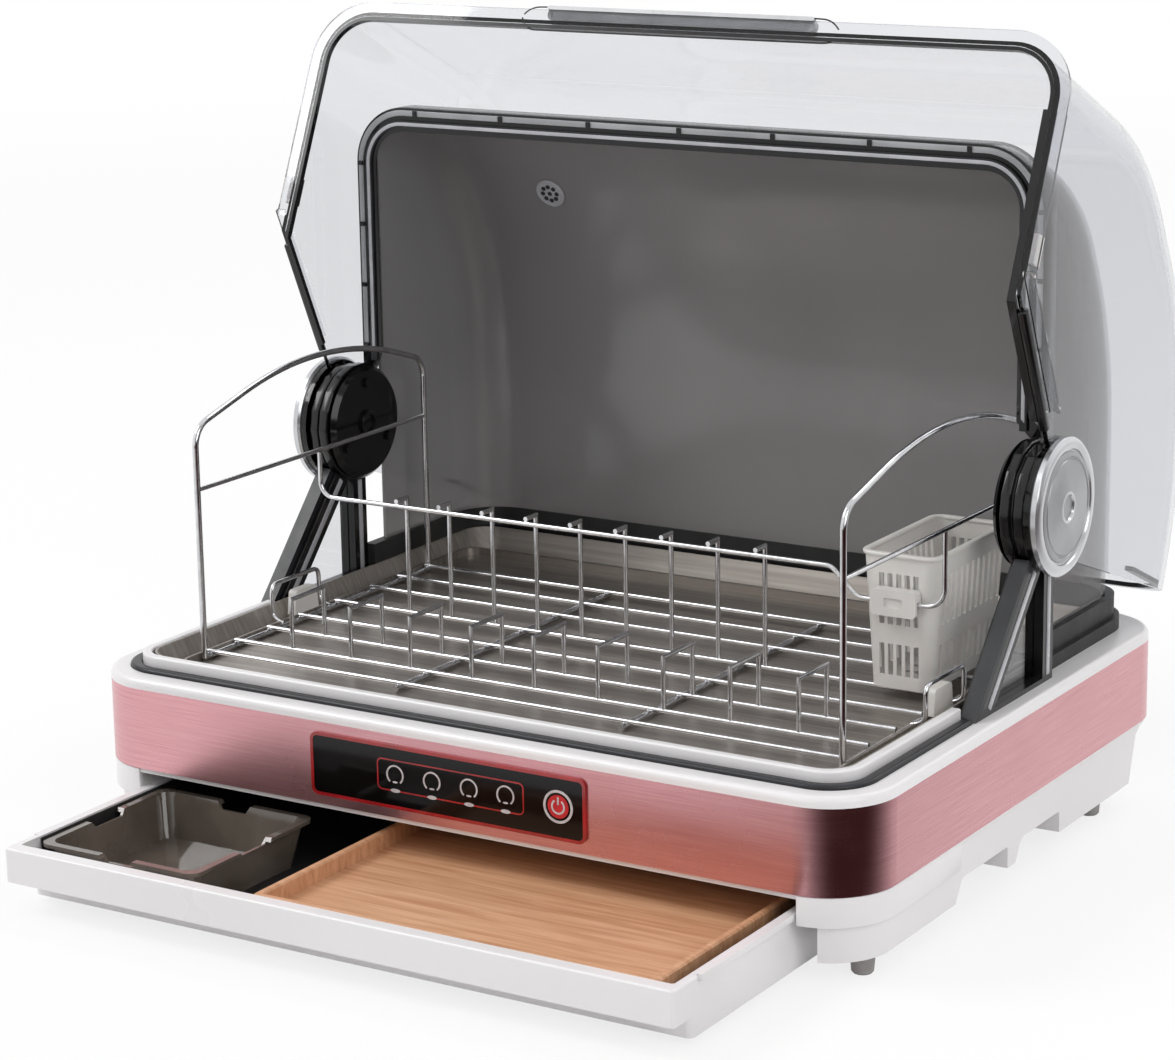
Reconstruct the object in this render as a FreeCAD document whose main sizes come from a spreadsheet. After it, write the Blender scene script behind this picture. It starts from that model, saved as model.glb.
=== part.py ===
import FreeCAD, Part
import math
import os
import Sketcher
from types import SimpleNamespace
from FreeCAD import Placement, Rotation, Vector

# Countertop dish dryer: a base with a storage drawer, a wire rack under a smoked
# rear cover, and a clear front lid that swings up and back over that cover.
# Lengths are millimetres and angles are degrees. X runs to the right, Y to the
# rear and Z up from the surface that the rubber feet stand on. Every piece is
# drawn round the middle of the case, and case_y then sets the whole part so that
# the frame's origin lies under the middle of the part as it stands open.
DIMENSIONS = [
    ("case_y", 35.674, "middle of the case behind the frame's origin"),
    ("case_width", 540, "over the trim band"),
    ("case_depth", 428, "over the trim band"),
    ("case_radius", 42, "corner of the trim band seen from above"),
    ("band_low", 52, "lower edge of the trim band"),
    ("band_height", 51, "trim band"),
    ("band_thick", 1.4, "trim band sheet"),
    ("wall", 3, "moulded case walls"),
    ("skirt_low", 12.5, "underside of the side skirts"),
    ("skirt_inset", 4, "skirts inside the band"),
    ("skirt_wide", 26, "side skirt across, lower part"),
    ("collar_wide", 35, "side skirt across, upper part"),
    ("collar_low", 33, "step between the two parts of the skirt"),
    ("deck_thick", 3, "deck between drawer and electronics"),
    ("bay_depth", 371, "drawer bay from the front of the band"),
    ("skirt_length", 377, "side skirts from the front of the band"),
    ("notch_high", 12, "hand and air notches in the skirts"),
    ("foot_radius", 9, "rubber foot"),
    ("foot_inset", 17, "rubber foot axis from the band"),
    ("lip_height", 6.5, "outer lip of the rim over the band"),
    ("lip_wide", 12, "outer lip of the rim"),
    ("groove_wide", 8, "seal groove in the rim"),
    ("groove_floor", 1.5, "seal groove floor over the band"),
    ("coaming_wide", 6, "raised inner edge of the rim"),
    ("coaming_height", 15, "raised inner edge over the band"),
    ("seal_height", 7.5, "front seal over the groove floor"),
    ("seal_play", 0.3, "gap between seal and groove"),
    ("liner_thick", 1, "pressed liner"),
    ("liner_drop", 15, "liner floor under the raised edge"),
    ("tray_inset", 14, "drip tray inside the liner"),
    ("tray_wall", 2, "drip tray"),
    ("tray_height", 7, "drip tray"),
    ("play", 0.5, "gap between pieces that lie close together"),
    ("hub_y", 50, "lid axis behind the middle of the case"),
    ("hub_z", 218, "lid axis over the floor"),
    ("hub_radius", 39, "fixed drum of the hub"),
    ("pin_radius", 5, "lid pin"),
    ("pin_gap", 0.05, "running gap round the pin"),
    ("arch_half", 247, "arch frame from the middle to its outer side"),
    ("arch_y", 60, "front face of the arch frame"),
    ("arch_deep", 16, "arch frame front to back"),
    ("arch_face", 14, "arch frame seen from the front"),
    ("arch_top", 429, "top of the arch frame"),
    ("arch_radius", 38, "corner of the arch frame"),
    ("lid_inner", 259.5, "inner face of the lid's side wall"),
    ("lid_thick", 3, "lid wall"),
    ("lid_front", 202, "front of the lid before the middle of the case"),
    ("lid_low", 113, "lid rim when shut"),
    ("flange_wide", 6.5, "flange round the lid's rim"),
    ("flange_thick", 2.5, "flange round the lid's rim"),
    ("leg_angle", 48.2, "slope of the lid's rim from its bend up to the hub"),
    ("leg_gap", 11, "leg seal's face behind the lid's flange when shut"),
    ("brace_bar", 14, "bars of the brace"),
    ("brace_x", 246, "inner face of the brace"),
    ("brace_wide", 13, "brace across"),
    ("lid_top", 438, "top of the lid when shut"),
    ("lid_rear", 63, "rear edge of the lid at its top when shut"),
    ("lid_corner", 34, "edge between the lid's side and its crown"),
    ("lid_bend", 62, "bend of the lid's rim before the middle of the case"),
    ("lid_open", 114, "how far the lid has swung up"),
    ("cover_half", 246, "rear cover from the middle to its outer side"),
    ("cover_rear", 195, "back of the rear cover"),
    ("cover_low", 131.5, "lower edge of the rear cover"),
    ("cover_thick", 2.5, "rear cover wall"),
    ("skirt_x", 252, "outer face of the cover skirt's lower step"),
    ("skirt_back", 202, "back of the cover skirt's lower step"),
    ("drawer_pull", 130, "how far the drawer stands out"),
    ("drawer_half", 225, "drawer box from the middle to its outer side"),
    ("drawer_low", 5, "underside of the drawer"),
    ("drawer_high", 40, "top of the drawer"),
    ("drawer_depth", 340, "drawer box front to back"),
    ("drawer_wall", 3, "drawer walls and floor"),
    ("lip_deep", 22, "finger lip before the drawer box"),
    ("lip_low", 19, "underside of the finger lip"),
    ("lip_face", 9, "finger lip front to back at its top"),
    ("rail_gap", 0.4, "gap between the drawer and its runners"),
    ("wire", 4, "rack frame wire"),
    ("thin_wire", 3, "rack cross wire"),
    ("rack_half", 225, "rack from the middle to its end frames"),
    ("rack_front", 150, "front of the rack before the middle of the case"),
    ("rack_back", 98, "back of the rack behind the middle of the case"),
    ("rail_high", 215, "upper rails of the rack"),
    ("divider_pitch", 33, "spacing of the plate dividers"),
    ("bowl_pitch", 45, "spacing of the bowl dividers"),
    ("fan_x", -60, "fan axis to the right of the middle"),
    ("fan_y", 110, "fan axis behind the middle"),
    ("fan_radius", 40, "fan rotor"),
    ("panel_half", 96, "control panel from its middle to its end"),
    ("panel_low", 58, "lower edge of the control panel"),
    ("panel_high", 97, "upper edge of the control panel"),
]


class Size:
    """A length or angle: its number, and the formula that the document keeps."""

    def __init__(self, number, formula=None):
        self.number = float(number)
        self.formula = formula if formula else repr(float(number))

    def join(self, other, number, sign):
        return Size(number, f"({self.formula} {sign} {as_size(other).formula})")

    def __add__(self, other):
        return self.join(other, self.number + as_size(other).number, "+")

    def __sub__(self, other):
        return self.join(other, self.number - as_size(other).number, "-")

    def __mul__(self, other):
        return self.join(other, self.number * as_size(other).number, "*")

    def __truediv__(self, other):
        return self.join(other, self.number / as_size(other).number, "/")

    def __radd__(self, other):
        return as_size(other) + self

    def __rsub__(self, other):
        return as_size(other) - self

    def __rmul__(self, other):
        return as_size(other) * self

    def __neg__(self):
        return as_size(0) - self


def as_size(value):
    return value if isinstance(value, Size) else Size(value)


def sine(angle):
    return Size(math.sin(math.radians(angle.number)), f"sin({angle.formula} * 1 deg)")


def cosine(angle):
    return Size(math.cos(math.radians(angle.number)), f"cos({angle.formula} * 1 deg)")


def arctangent(rise, run):
    """The angle of a slope in degrees."""
    rise, run = as_size(rise), as_size(run)
    angle = math.degrees(math.atan(rise.number / run.number))
    return Size(angle, f"(atan({rise.formula} / {run.formula}) / 1 deg)")


doc = FreeCAD.newDocument("dish_dryer")


def write_sheet():
    """Fill the sheet and return its dimensions by name."""
    sheet = doc.addObject("Spreadsheet::Sheet", "Dims")
    for row, (alias, value, note) in enumerate(DIMENSIONS, start=1):
        sheet.set(f"A{row}", alias)
        sheet.set(f"B{row}", str(value))
        sheet.setAlias(f"B{row}", alias)
        sheet.set(f"C{row}", note)
    doc.recompute()
    sizes = {alias: Size(sheet.get(alias), f"Dims.{alias}") for alias, value, note in DIMENSIONS}
    return SimpleNamespace(**sizes)


d = write_sheet()
parts = []


def bind(thing, name, size):
    """Set a property now and tie it to its formula."""
    size = as_size(size)
    thing.setExpression(name, size.formula)


# Bodies and sketches

def new_body(label, compound=False):
    body = doc.addObject("PartDesign::Body", label)
    body.Label = label
    body.AllowCompound = compound
    parts.append(body)
    return body


def plane_of(body, role):
    return next(item for item in body.Origin.OriginFeatures if item.Role == role)


def new_sketch(body, role, offset=0):
    """A sketch on one of the body's own planes, moved along the plane's normal."""
    sketch = body.newObject("Sketcher::SketchObject", f"{body.Label}_outline")
    sketch.AttachmentSupport = (plane_of(body, role), [""])
    sketch.MapMode = "FlatFace"
    if as_size(offset).formula != "0.0":
        bind(sketch, "AttachmentOffset.Base.z", offset)
    return sketch


def place_point(sketch, index, position, u, v):
    """Tie one point of a sketch to its two coordinates."""
    for kind, size in (("DistanceX", as_size(u)), ("DistanceY", as_size(v))):
        number = sketch.addConstraint(Sketcher.Constraint(kind, index, position, size.number))
        sketch.setExpression(f"Constraints[{number}]", size.formula)


def circle(sketch, u, v, radius):
    u, v, radius = as_size(u), as_size(v), as_size(radius)
    index = sketch.addGeometry(Part.Circle(Vector(u.number, v.number, 0), Vector(0, 0, 1), radius.number))
    place_point(sketch, index, 3, u, v)
    number = sketch.addConstraint(Sketcher.Constraint("Radius", index, radius.number))
    sketch.setExpression(f"Constraints[{number}]", radius.formula)


def outline(sketch, corners, closed=True):
    """An outline of straight runs through corners (u, v) or rounded ones (u, v, radius)."""
    spots = [Vector(as_size(c[0]).number, as_size(c[1]).number, 0) for c in corners]
    radii = [as_size(c[2]) if len(c) > 2 else None for c in corners]
    count = len(corners)
    starts = []
    ends = []
    for i, spot in enumerate(spots):
        before = (spots[i - 1] - spot).normalize()
        after = (spots[(i + 1) % count] - spot).normalize()
        cut = 0 if radii[i] is None else radii[i].number / math.tan(before.getAngle(after) / 2)
        ends.append(spot + before * cut)
        starts.append(spot + after * cut)
    runs = range(count if closed else count - 1)
    lines = [sketch.addGeometry(Part.LineSegment(starts[i], ends[(i + 1) % count])) for i in runs]
    if not closed:
        place_point(sketch, lines[0], 1, corners[0][0], corners[0][1])
        place_point(sketch, lines[-1], 2, corners[-1][0], corners[-1][1])
    for i in range(0 if closed else 1, count if closed else count - 1):
        into, out = lines[i - 1], lines[i]
        if radii[i] is None:
            sketch.addConstraint(Sketcher.Constraint("Coincident", into, 2, out, 1))
            place_point(sketch, out, 1, corners[i][0], corners[i][1])
            continue
        add_corner(sketch, corners[i], radii[i], (ends[i], spots[i], starts[i]), into, out)


def add_corner(sketch, corner, radius, places, into, out):
    """A tangent arc between two lines whose meeting point is tied to the corner."""
    end, spot, start = places
    middle = (end + start) / 2
    inward = (middle - spot).normalize()
    reach = math.hypot(radius.number, (end - spot).Length)
    centre = spot + inward * reach
    nearest = centre - inward * radius.number
    arc = sketch.addGeometry(Part.Arc(end, nearest, start))
    turn = (spot - end).cross(start - spot).z
    first, last = (1, 2) if turn > 0 else (2, 1)
    mark = sketch.addGeometry(Part.Point(spot), True)
    place_point(sketch, mark, 1, corner[0], corner[1])
    sketch.addConstraint(Sketcher.Constraint("PointOnObject", mark, 1, into))
    sketch.addConstraint(Sketcher.Constraint("PointOnObject", mark, 1, out))
    sketch.addConstraint(Sketcher.Constraint("Tangent", into, 2, arc, first))
    sketch.addConstraint(Sketcher.Constraint("Tangent", arc, last, out, 1))
    number = sketch.addConstraint(Sketcher.Constraint("Radius", arc, radius.number))
    sketch.setExpression(f"Constraints[{number}]", radius.formula)


def polygon(*corners):
    return lambda sketch: outline(sketch, corners)


def rectangle(low_u, high_u, low_v, high_v, radius=None):
    corners = [(low_u, low_v), (high_u, low_v), (high_u, high_v), (low_u, high_v)]
    return polygon(*[corner + (radius,) if radius is not None else corner for corner in corners])


def disc(u, v, radius):
    return lambda sketch: circle(sketch, u, v, radius)


# Features

def prism_sketch(body, role, low, high, shapes):
    """The sketch of a prism between two places along the plane's normal."""
    start = -high if role == "XZ_Plane" else low
    sketch = new_sketch(body, role, start)
    for shape in shapes:
        shape(sketch)
    return sketch


def pad(body, role, low, high, *shapes):
    """Add shapes from one place to another along X, Y or Z."""
    low, high = as_size(low), as_size(high)
    item = body.newObject("PartDesign::Pad", f"{body.Label}_pad")
    item.Profile = prism_sketch(body, role, low, high, shapes)
    bind(item, "Length", high - low)
    doc.recompute()
    return item


def pocket(body, role, low, high, *shapes):
    """Cut shapes from one place to another along X, Y or Z; it has to remove something."""
    low, high = as_size(low), as_size(high)
    before = body.Shape.Volume
    item = body.newObject("PartDesign::Pocket", f"{body.Label}_pocket")
    item.Profile = prism_sketch(body, role, low, high, shapes)
    bind(item, "Length", high - low)
    item.Reversed = True
    doc.recompute()
    if body.Shape.Volume > before - 1e-3:
        raise RuntimeError(f"{item.Label} cuts nothing")
    return item


def loft(body, kind, low, high, lower, upper):
    """A straight loft between two level outlines, added or cut."""
    item = body.newObject(f"PartDesign::{kind}", f"{body.Label}_loft")
    first = new_sketch(body, "XY_Plane", low)
    lower(first)
    second = new_sketch(body, "XY_Plane", high)
    upper(second)
    item.Profile = first
    item.Sections = [second]
    item.Ruled = True
    doc.recompute()
    return item


def pipe(body, role, place, corners, radius, sharp=False):
    """A round wire along an open outline that starts along one of its plane's axes."""
    spine = new_sketch(body, role, -as_size(place) if role == "XZ_Plane" else place)
    outline(spine, corners, closed=False)
    (u, v), (next_u, next_v) = corners[0][:2], corners[1][:2]
    upright = abs(as_size(next_u).number - as_size(u).number) < 1e-6
    if role == "YZ_Plane":
        end, spot = (("XY_Plane", v), (place, u)) if upright else (("XZ_Plane", u), (place, v))
    elif role == "XZ_Plane":
        end, spot = (("XY_Plane", v), (u, place)) if upright else (("YZ_Plane", u), (place, v))
    else:
        end, spot = (("XZ_Plane", v), (u, place)) if upright else (("YZ_Plane", u), (v, place))
    face = new_sketch(body, end[0], -as_size(end[1]) if end[0] == "XZ_Plane" else end[1])
    circle(face, spot[0], spot[1], radius)
    item = body.newObject("PartDesign::AdditivePipe", f"{body.Label}_pipe")
    item.Profile = face
    item.Spine = spine
    item.Transition = "Right corner" if sharp else "Transformed"
    doc.recompute()
    return item


def turn(body, *shapes, kind="Revolution"):
    """Revolve outlines drawn as (x, radius) round the X axis."""
    sketch = new_sketch(body, "XY_Plane")
    for shape in shapes:
        shape(sketch)
    item = body.newObject(f"PartDesign::{kind}", f"{body.Label}_turn")
    item.Profile = sketch
    item.ReferenceAxis = (sketch, ["H_Axis"])
    item.Angle = 360
    doc.recompute()
    return item


def repeat(body, originals, role, length, count):
    """Repeat features along one of the body's axes."""
    item = body.newObject("PartDesign::LinearPattern", f"{body.Label}_pattern")
    item.Originals = originals
    item.Direction = (plane_of(body, role), [""])
    bind(item, "Length", length)
    item.Occurrences = count
    body.Tip = item
    doc.recompute()
    return item


def spin(body, originals, role, count):
    """Repeat features round one of the body's axes."""
    item = body.newObject("PartDesign::PolarPattern", f"{body.Label}_polar")
    item.Originals = originals
    item.Axis = (plane_of(body, role), [""])
    item.Angle = 360
    item.Occurrences = count
    body.Tip = item
    doc.recompute()
    return item


def hollow(body, wall, open_faces):
    """Leave a wall of even thickness and take away the faces that a test picks."""
    base = body.Tip
    picked = [f"Face{i}" for i, face in enumerate(base.Shape.Faces, start=1) if open_faces(face)]
    item = body.newObject("PartDesign::Thickness", f"{body.Label}_shell")
    item.Base = (base, picked)
    bind(item, "Value", wall)
    item.Reversed = True
    item.Join = 1
    doc.recompute()
    return item


def round_edges(body, radius, wanted, kind="Fillet"):
    """Fillet or chamfer the edges of the body that a test picks."""
    base = body.Tip
    picked = [f"Edge{i}" for i, edge in enumerate(base.Shape.Edges, start=1) if wanted(edge)]
    item = body.newObject(f"PartDesign::{kind}", f"{body.Label}_{kind.lower()}")
    item.Base = (base, picked)
    bind(item, "Radius" if kind == "Fillet" else "Size", radius)
    doc.recompute()
    return item


def on_plane(axis, place):
    """A test for edges or faces that lie wholly on one plane across X, Y or Z."""
    place = as_size(place).number

    def test(item):
        box = item.BoundBox
        low, high = {"x": (box.XMin, box.XMax), "y": (box.YMin, box.YMax), "z": (box.ZMin, box.ZMax)}[axis]
        return abs(low - place) < 1e-3 and abs(high - place) < 1e-3
    return test


def set_down(thing, x=0, y=0, z=0):
    """Put a piece of the case in the frame."""
    bind(thing, "Placement.Base.x", as_size(x))
    bind(thing, "Placement.Base.y", d.case_y + y)
    bind(thing, "Placement.Base.z", as_size(z))


def swing(thing):
    """Put a piece of the lid, drawn shut and round the hub, in the open lid."""
    thing.Placement = Placement(Vector(0, 0, 0), Rotation(Vector(1, 0, 0), -d.lid_open.number))
    bind(thing, "Placement.Rotation.Angle", -d.lid_open)
    set_down(thing, 0, d.hub_y, d.hub_z)


def pull_out(thing):
    """Put a piece of the drawer, drawn shut, in the open drawer."""
    set_down(thing, 0, -d.drawer_pull, 0)


# Derived sizes that several pieces share
case_x = d.case_width / 2
case_back = d.case_depth / 2
band_high = d.band_low + d.band_height
lip_high = band_high + d.lip_height
coaming_high = band_high + d.coaming_height
groove_in = d.lip_wide
groove_out = d.lip_wide + d.groove_wide
rim_in = groove_out + d.coaming_wide


def case_shape(inset):
    """The case seen from above, drawn in by an inset."""
    x = case_x - inset
    y = case_back - inset
    return rectangle(-x, x, -y, y, d.case_radius - inset)


def cut_across(body, *shapes):
    """Cut shapes seen from the side through the whole width."""
    pocket(body, "YZ_Plane", -case_x - 10, case_x + 10, *shapes)


# The base

under_band = d.band_low - d.deck_thick
bay_back = d.bay_depth - case_back
skirt_outer = case_x - d.skirt_inset
low_wall_x = skirt_outer - d.skirt_wide
collar_x = skirt_outer - d.collar_wide
wall_in = d.band_thick + 0.1 + d.wall
panel_x = d.panel_half - 4
socket_x = as_size(-190)
grille_x = as_size(110)
seam_y = d.arch_y - 3
def leg(distance, offset):
    """A place beside the lid's leg line: up along it, and across it towards the front."""
    distance, offset = as_size(distance), as_size(offset)
    y = cosine(d.leg_angle) * distance - sine(d.leg_angle) * offset - d.lid_bend
    z = sine(d.leg_angle) * distance + cosine(d.leg_angle) * offset + d.lid_low
    return (y, z)


def leg_foot(offset, height):
    """Where a line beside the leg line comes down to a height."""
    offset = as_size(offset)
    run = (height - d.lid_low - cosine(d.leg_angle) * offset) / sine(d.leg_angle)
    return leg(run, offset)


def leg_at(offset, y):
    """The height of a line beside the leg line above a place along Y."""
    offset = as_size(offset)
    run = (y + d.lid_bend + sine(d.leg_angle) * offset) / cosine(d.leg_angle)
    return leg(run, offset)


brace_face = -d.leg_gap - 4
brace_in = brace_face - d.brace_bar
brace_back = seam_y
brace_post = brace_back - d.brace_bar
brace_foot = lip_high + 3
brace_front = leg_foot(brace_face + 4, lip_high)[0] - 0.5
deck_screws = [(x, y) for x in (-206, 206) for y in (-160, 130)]
foot_spots = [(side, y) for side in (-1, 1) for y in (-case_back + d.foot_inset + 18, as_size(131))]


def front_u(outer, inner, back, shift=0):
    """The front of the case outline between two insets, open to the rear."""
    corners = []
    for inset, order in ((as_size(outer), 1), (as_size(inner), -1)):
        x, y, r = case_x - inset, -case_back + inset - shift, d.case_radius - inset
        path = [(-x, back - shift), (-x, y, r), (x, y, r), (x, back - shift)]
        corners += path[::order]
    return polygon(*corners)


def rear_u(x, y, radius, wide, front):
    """A band of even width round the sides and rear, open to the front."""
    corners = []
    for inset, order in ((as_size(0), 1), (as_size(wide), -1)):
        path = [(-x + inset, front), (-x + inset, y - inset, radius - inset),
                (x - inset, y - inset, radius - inset), (x - inset, front)]
        corners += path[::order]
    return polygon(*corners)


def front_window(body, low, high):
    """The window for the control panel."""
    pocket(body, "XZ_Plane", low, high, rectangle(-panel_x, panel_x, d.panel_low + 4, d.panel_high - 4, 3))


def rear_windows(body, low, high):
    """The windows for the inlet and the air grille."""
    pocket(body, "XZ_Plane", low, high, rectangle(socket_x - 14, socket_x + 14, 66, 87, 2))
    pocket(body, "XZ_Plane", low, high, rectangle(grille_x - 58, grille_x + 58, 62, 93, 3))


def make_lower_housing():
    body = new_body("lower_housing")
    pad(body, "XY_Plane", under_band, band_high, case_shape(d.band_thick + 0.1))
    pad(body, "XY_Plane", d.skirt_low, under_band, case_shape(d.skirt_inset))
    front = -case_back - 10
    pocket(body, "XY_Plane", d.skirt_low, d.collar_low, rectangle(-low_wall_x, low_wall_x, front, bay_back))
    pocket(body, "XY_Plane", d.collar_low, under_band, rectangle(-collar_x, collar_x, front, bay_back))
    skirt_back = d.skirt_length - case_back
    cut_across(body, polygon(
        (skirt_back, d.skirt_low - 5), (skirt_back, d.skirt_low), (skirt_back + 10, under_band - 6),
        (skirt_back + 32, under_band), (case_back + 5, under_band), (case_back + 5, d.skirt_low - 5)))
    notch_top = d.skirt_low + d.notch_high + 1.5
    for start, end in ((-88, -18), (-7, 56)):
        cut_across(body, polygon(
            (start, d.skirt_low - 5), (end, d.skirt_low - 5), (end, notch_top, 2),
            (as_size(start) + 8, notch_top, 5), (start, d.skirt_low)))
    pocket(body, "XY_Plane", d.band_low, band_high, case_shape(wall_in))
    pocket(body, "XY_Plane", under_band, d.band_low, rectangle(-200, 200, -170, 140, 12))
    for x, y in deck_screws:
        pocket(body, "XY_Plane", under_band, d.band_low, disc(x, y, 1.5))
    front_window(body, -case_back, -case_back + wall_in + 1)
    rear_windows(body, case_back - wall_in - 1, case_back)
    set_down(body)


def make_trim_band():
    body = new_body("trim_band")
    pad(body, "XY_Plane", d.band_low, band_high, case_shape(0), case_shape(d.band_thick))
    front_window(body, -case_back, -case_back + d.band_thick + 1)
    rear_windows(body, case_back - d.band_thick - 1, case_back)
    set_down(body)


def make_rubber_feet():
    body = new_body("rubber_feet", compound=True)
    for side, y in foot_spots:
        pad(body, "XY_Plane", 0, d.skirt_low, disc((case_x - d.foot_inset) * side, y, d.foot_radius))
    round_edges(body, 1.5, on_plane("z", 0), "Chamfer")
    set_down(body)


def make_upper_rim():
    body = new_body("upper_rim")
    pad(body, "XY_Plane", band_high, lip_high, case_shape(0))
    round_edges(body, 4, on_plane("z", lip_high))
    pad(body, "XY_Plane", lip_high, coaming_high, front_u(groove_out, rim_in, brace_front))
    round_edges(body, 1.5, on_plane("z", coaming_high))
    y = case_back - rim_in
    pocket(body, "XY_Plane", band_high, lip_high, rectangle(
        -case_x + rim_in, case_x - rim_in, -y, y, d.case_radius - rim_in))
    pocket(body, "XY_Plane", band_high + d.groove_floor, lip_high, front_u(groove_in, groove_out, brace_front))
    set_down(body)


def make_rim_seal():
    body = new_body("rim_seal")
    floor = band_high + d.groove_floor
    inner, outer = groove_in + d.seal_play, groove_out - d.seal_play
    pad(body, "XY_Plane", floor, floor + d.seal_height, front_u(inner, outer, brace_front - 0.3))
    round_edges(body, 2, on_plane("z", floor + d.seal_height))
    set_down(body)


liner_floor = coaming_high - d.liner_drop
liner_x = case_x - rim_in - d.play
liner_y = case_back - rim_in - d.play
liner_radius = d.case_radius - rim_in + 2


def make_inner_liner():
    body = new_body("inner_liner")

    def level(inset):
        inset = as_size(inset)
        return rectangle(-liner_x + inset, liner_x - inset, -liner_y + inset, liner_y - inset, liner_radius)
    thick = d.liner_thick
    loft(body, "AdditiveLoft", liner_floor - thick, coaming_high - 1, level(7), level(0))
    loft(body, "SubtractiveLoft", liner_floor, coaming_high - 1, level(7 + thick), level(thick))
    slot = pocket(body, "XY_Plane", liner_floor - thick, liner_floor, rectangle(-150, -130, liner_y - 26, liner_y - 21))
    repeat(body, [slot], "X_Axis", 280, 10)
    set_down(body)


tray_high = liner_floor + d.tray_height
tray_floor = liner_floor + d.tray_wall
tray_x = liner_x - d.tray_inset
tray_front = liner_y - d.tray_inset
tray_back = liner_y - 32


def make_drip_tray():
    body = new_body("drip_tray")
    pad(body, "XY_Plane", liner_floor, tray_high, rectangle(-tray_x, tray_x, -tray_front, tray_back, 12))
    inner = tray_x - d.tray_wall
    pocket(body, "XY_Plane", tray_floor, tray_high, rectangle(
        -inner, inner, -tray_front + d.tray_wall, tray_back - d.tray_wall, 10))
    set_down(body)


def make_base_deck():
    body = new_body("base_deck")
    pad(body, "XY_Plane", d.band_low, d.band_low + 1.5, rectangle(-212, 212, -182, 152, 16))
    slot = pocket(body, "XY_Plane", d.band_low, d.band_low + 1.5, rectangle(-100, -96, d.fan_y - 30, d.fan_y + 30))
    repeat(body, [slot], "X_Axis", 72, 10)
    for x, y in deck_screws:
        pocket(body, "XY_Plane", d.band_low, d.band_low + 1.5, disc(x, y, 1.6))
    set_down(body)


def make_base_screws():
    body = new_body("base_screws", compound=True)
    for x, y in deck_screws:
        pad(body, "XY_Plane", under_band + 0.5, d.band_low + 1.5, disc(x, y, 1.5))
        pad(body, "XY_Plane", d.band_low + 1.5, d.band_low + 3.5, disc(x, y, 3.4))
    set_down(body)


def make_drawer_runner(side):
    body = new_body("drawer_runner_right" if side > 0 else "drawer_runner_left")
    ledge = d.drawer_half + d.rail_gap
    corners = [(ledge, d.collar_low), (collar_x, d.collar_low), (collar_x, under_band),
               (collar_x - 1.8, under_band), (collar_x - 1.8, d.collar_low + 2.5), (ledge, d.collar_low + 2.5)]
    pad(body, "XZ_Plane", box_front + 7, bay_back, polygon(*[(x * side, z) for x, z in corners]))
    set_down(body)


def make_control_bezel():
    body = new_body("control_bezel")
    low, high = d.panel_low, d.panel_high
    front = -case_back - 1.6
    pad(body, "XZ_Plane", front, -case_back, rectangle(-d.panel_half, d.panel_half, low, high, 5))
    pad(body, "XZ_Plane", -case_back, -case_back + 9, rectangle(
        -panel_x + 0.3, panel_x - 0.3, low + 4.3, high - 4.3, 2.7))
    pocket(body, "XZ_Plane", front, front + 1.2, rectangle(-d.panel_half + 2, d.panel_half - 2, low + 2, high - 2, 3.2))
    pocket(body, "XZ_Plane", front + 1.2, -case_back + 9, rectangle(-panel_x + 3, panel_x - 3, low + 7, high - 7, 1.5))
    set_down(body)


glass_front = -case_back - 1.3


def make_control_glass():
    body = new_body("control_glass")
    pad(body, "XZ_Plane", glass_front, -case_back - 0.4, rectangle(
        -d.panel_half + 2.1, d.panel_half - 2.1, d.panel_low + 2.1, d.panel_high - 2.1, 3.1))
    set_down(body)


icon_z = (d.panel_low + d.panel_high) / 2


def make_touch_icons():
    body = new_body("touch_icons", compound=True)
    low = glass_front - 0.15
    for x, outer in ((-36, 6.5), (-10, 6.5), (16, 6.5), (41, 6.5), (77, 10)):
        pad(body, "XZ_Plane", low, glass_front, disc(x, icon_z, outer), disc(x, icon_z, outer - 1))
    pad(body, "XZ_Plane", low, glass_front, disc(77, icon_z, 3))
    set_down(body)


def make_control_board():
    body = new_body("control_board")
    back = -case_back + 9
    pad(body, "XZ_Plane", back, back + 1.6, rectangle(-panel_x + 1, panel_x - 1, d.panel_low + 5, d.panel_high - 5))
    pad(body, "XZ_Plane", back + 1.6, back + 4.6, rectangle(-30, -16, 68, 82))
    pad(body, "XZ_Plane", back + 1.6, back + 9, rectangle(50, 70, 66, 76))
    set_down(body)


def make_power_board():
    body = new_body("power_board")
    floor = d.band_low + 1.5
    pad(body, "XY_Plane", floor + 4, floor + 5.6, rectangle(-212, -122, 15, 122, 2))
    for x in (-207, -127):
        for y in (20, 117):
            pad(body, "XY_Plane", floor, floor + 4, disc(x, y, 3))
    pad(body, "XY_Plane", floor + 5.6, floor + 28, disc(-192, 50, 9))
    pad(body, "XY_Plane", floor + 5.6, floor + 28, disc(-192, 74, 9))
    pad(body, "XY_Plane", floor + 5.6, floor + 30, rectangle(-167, -135, 40, 72, 2))
    pad(body, "XY_Plane", floor + 5.6, floor + 22, rectangle(-167, -147, 90, 116, 1))
    set_down(body)


fan_low = d.band_low + 1.5
fan_high = fan_low + 40


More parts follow.
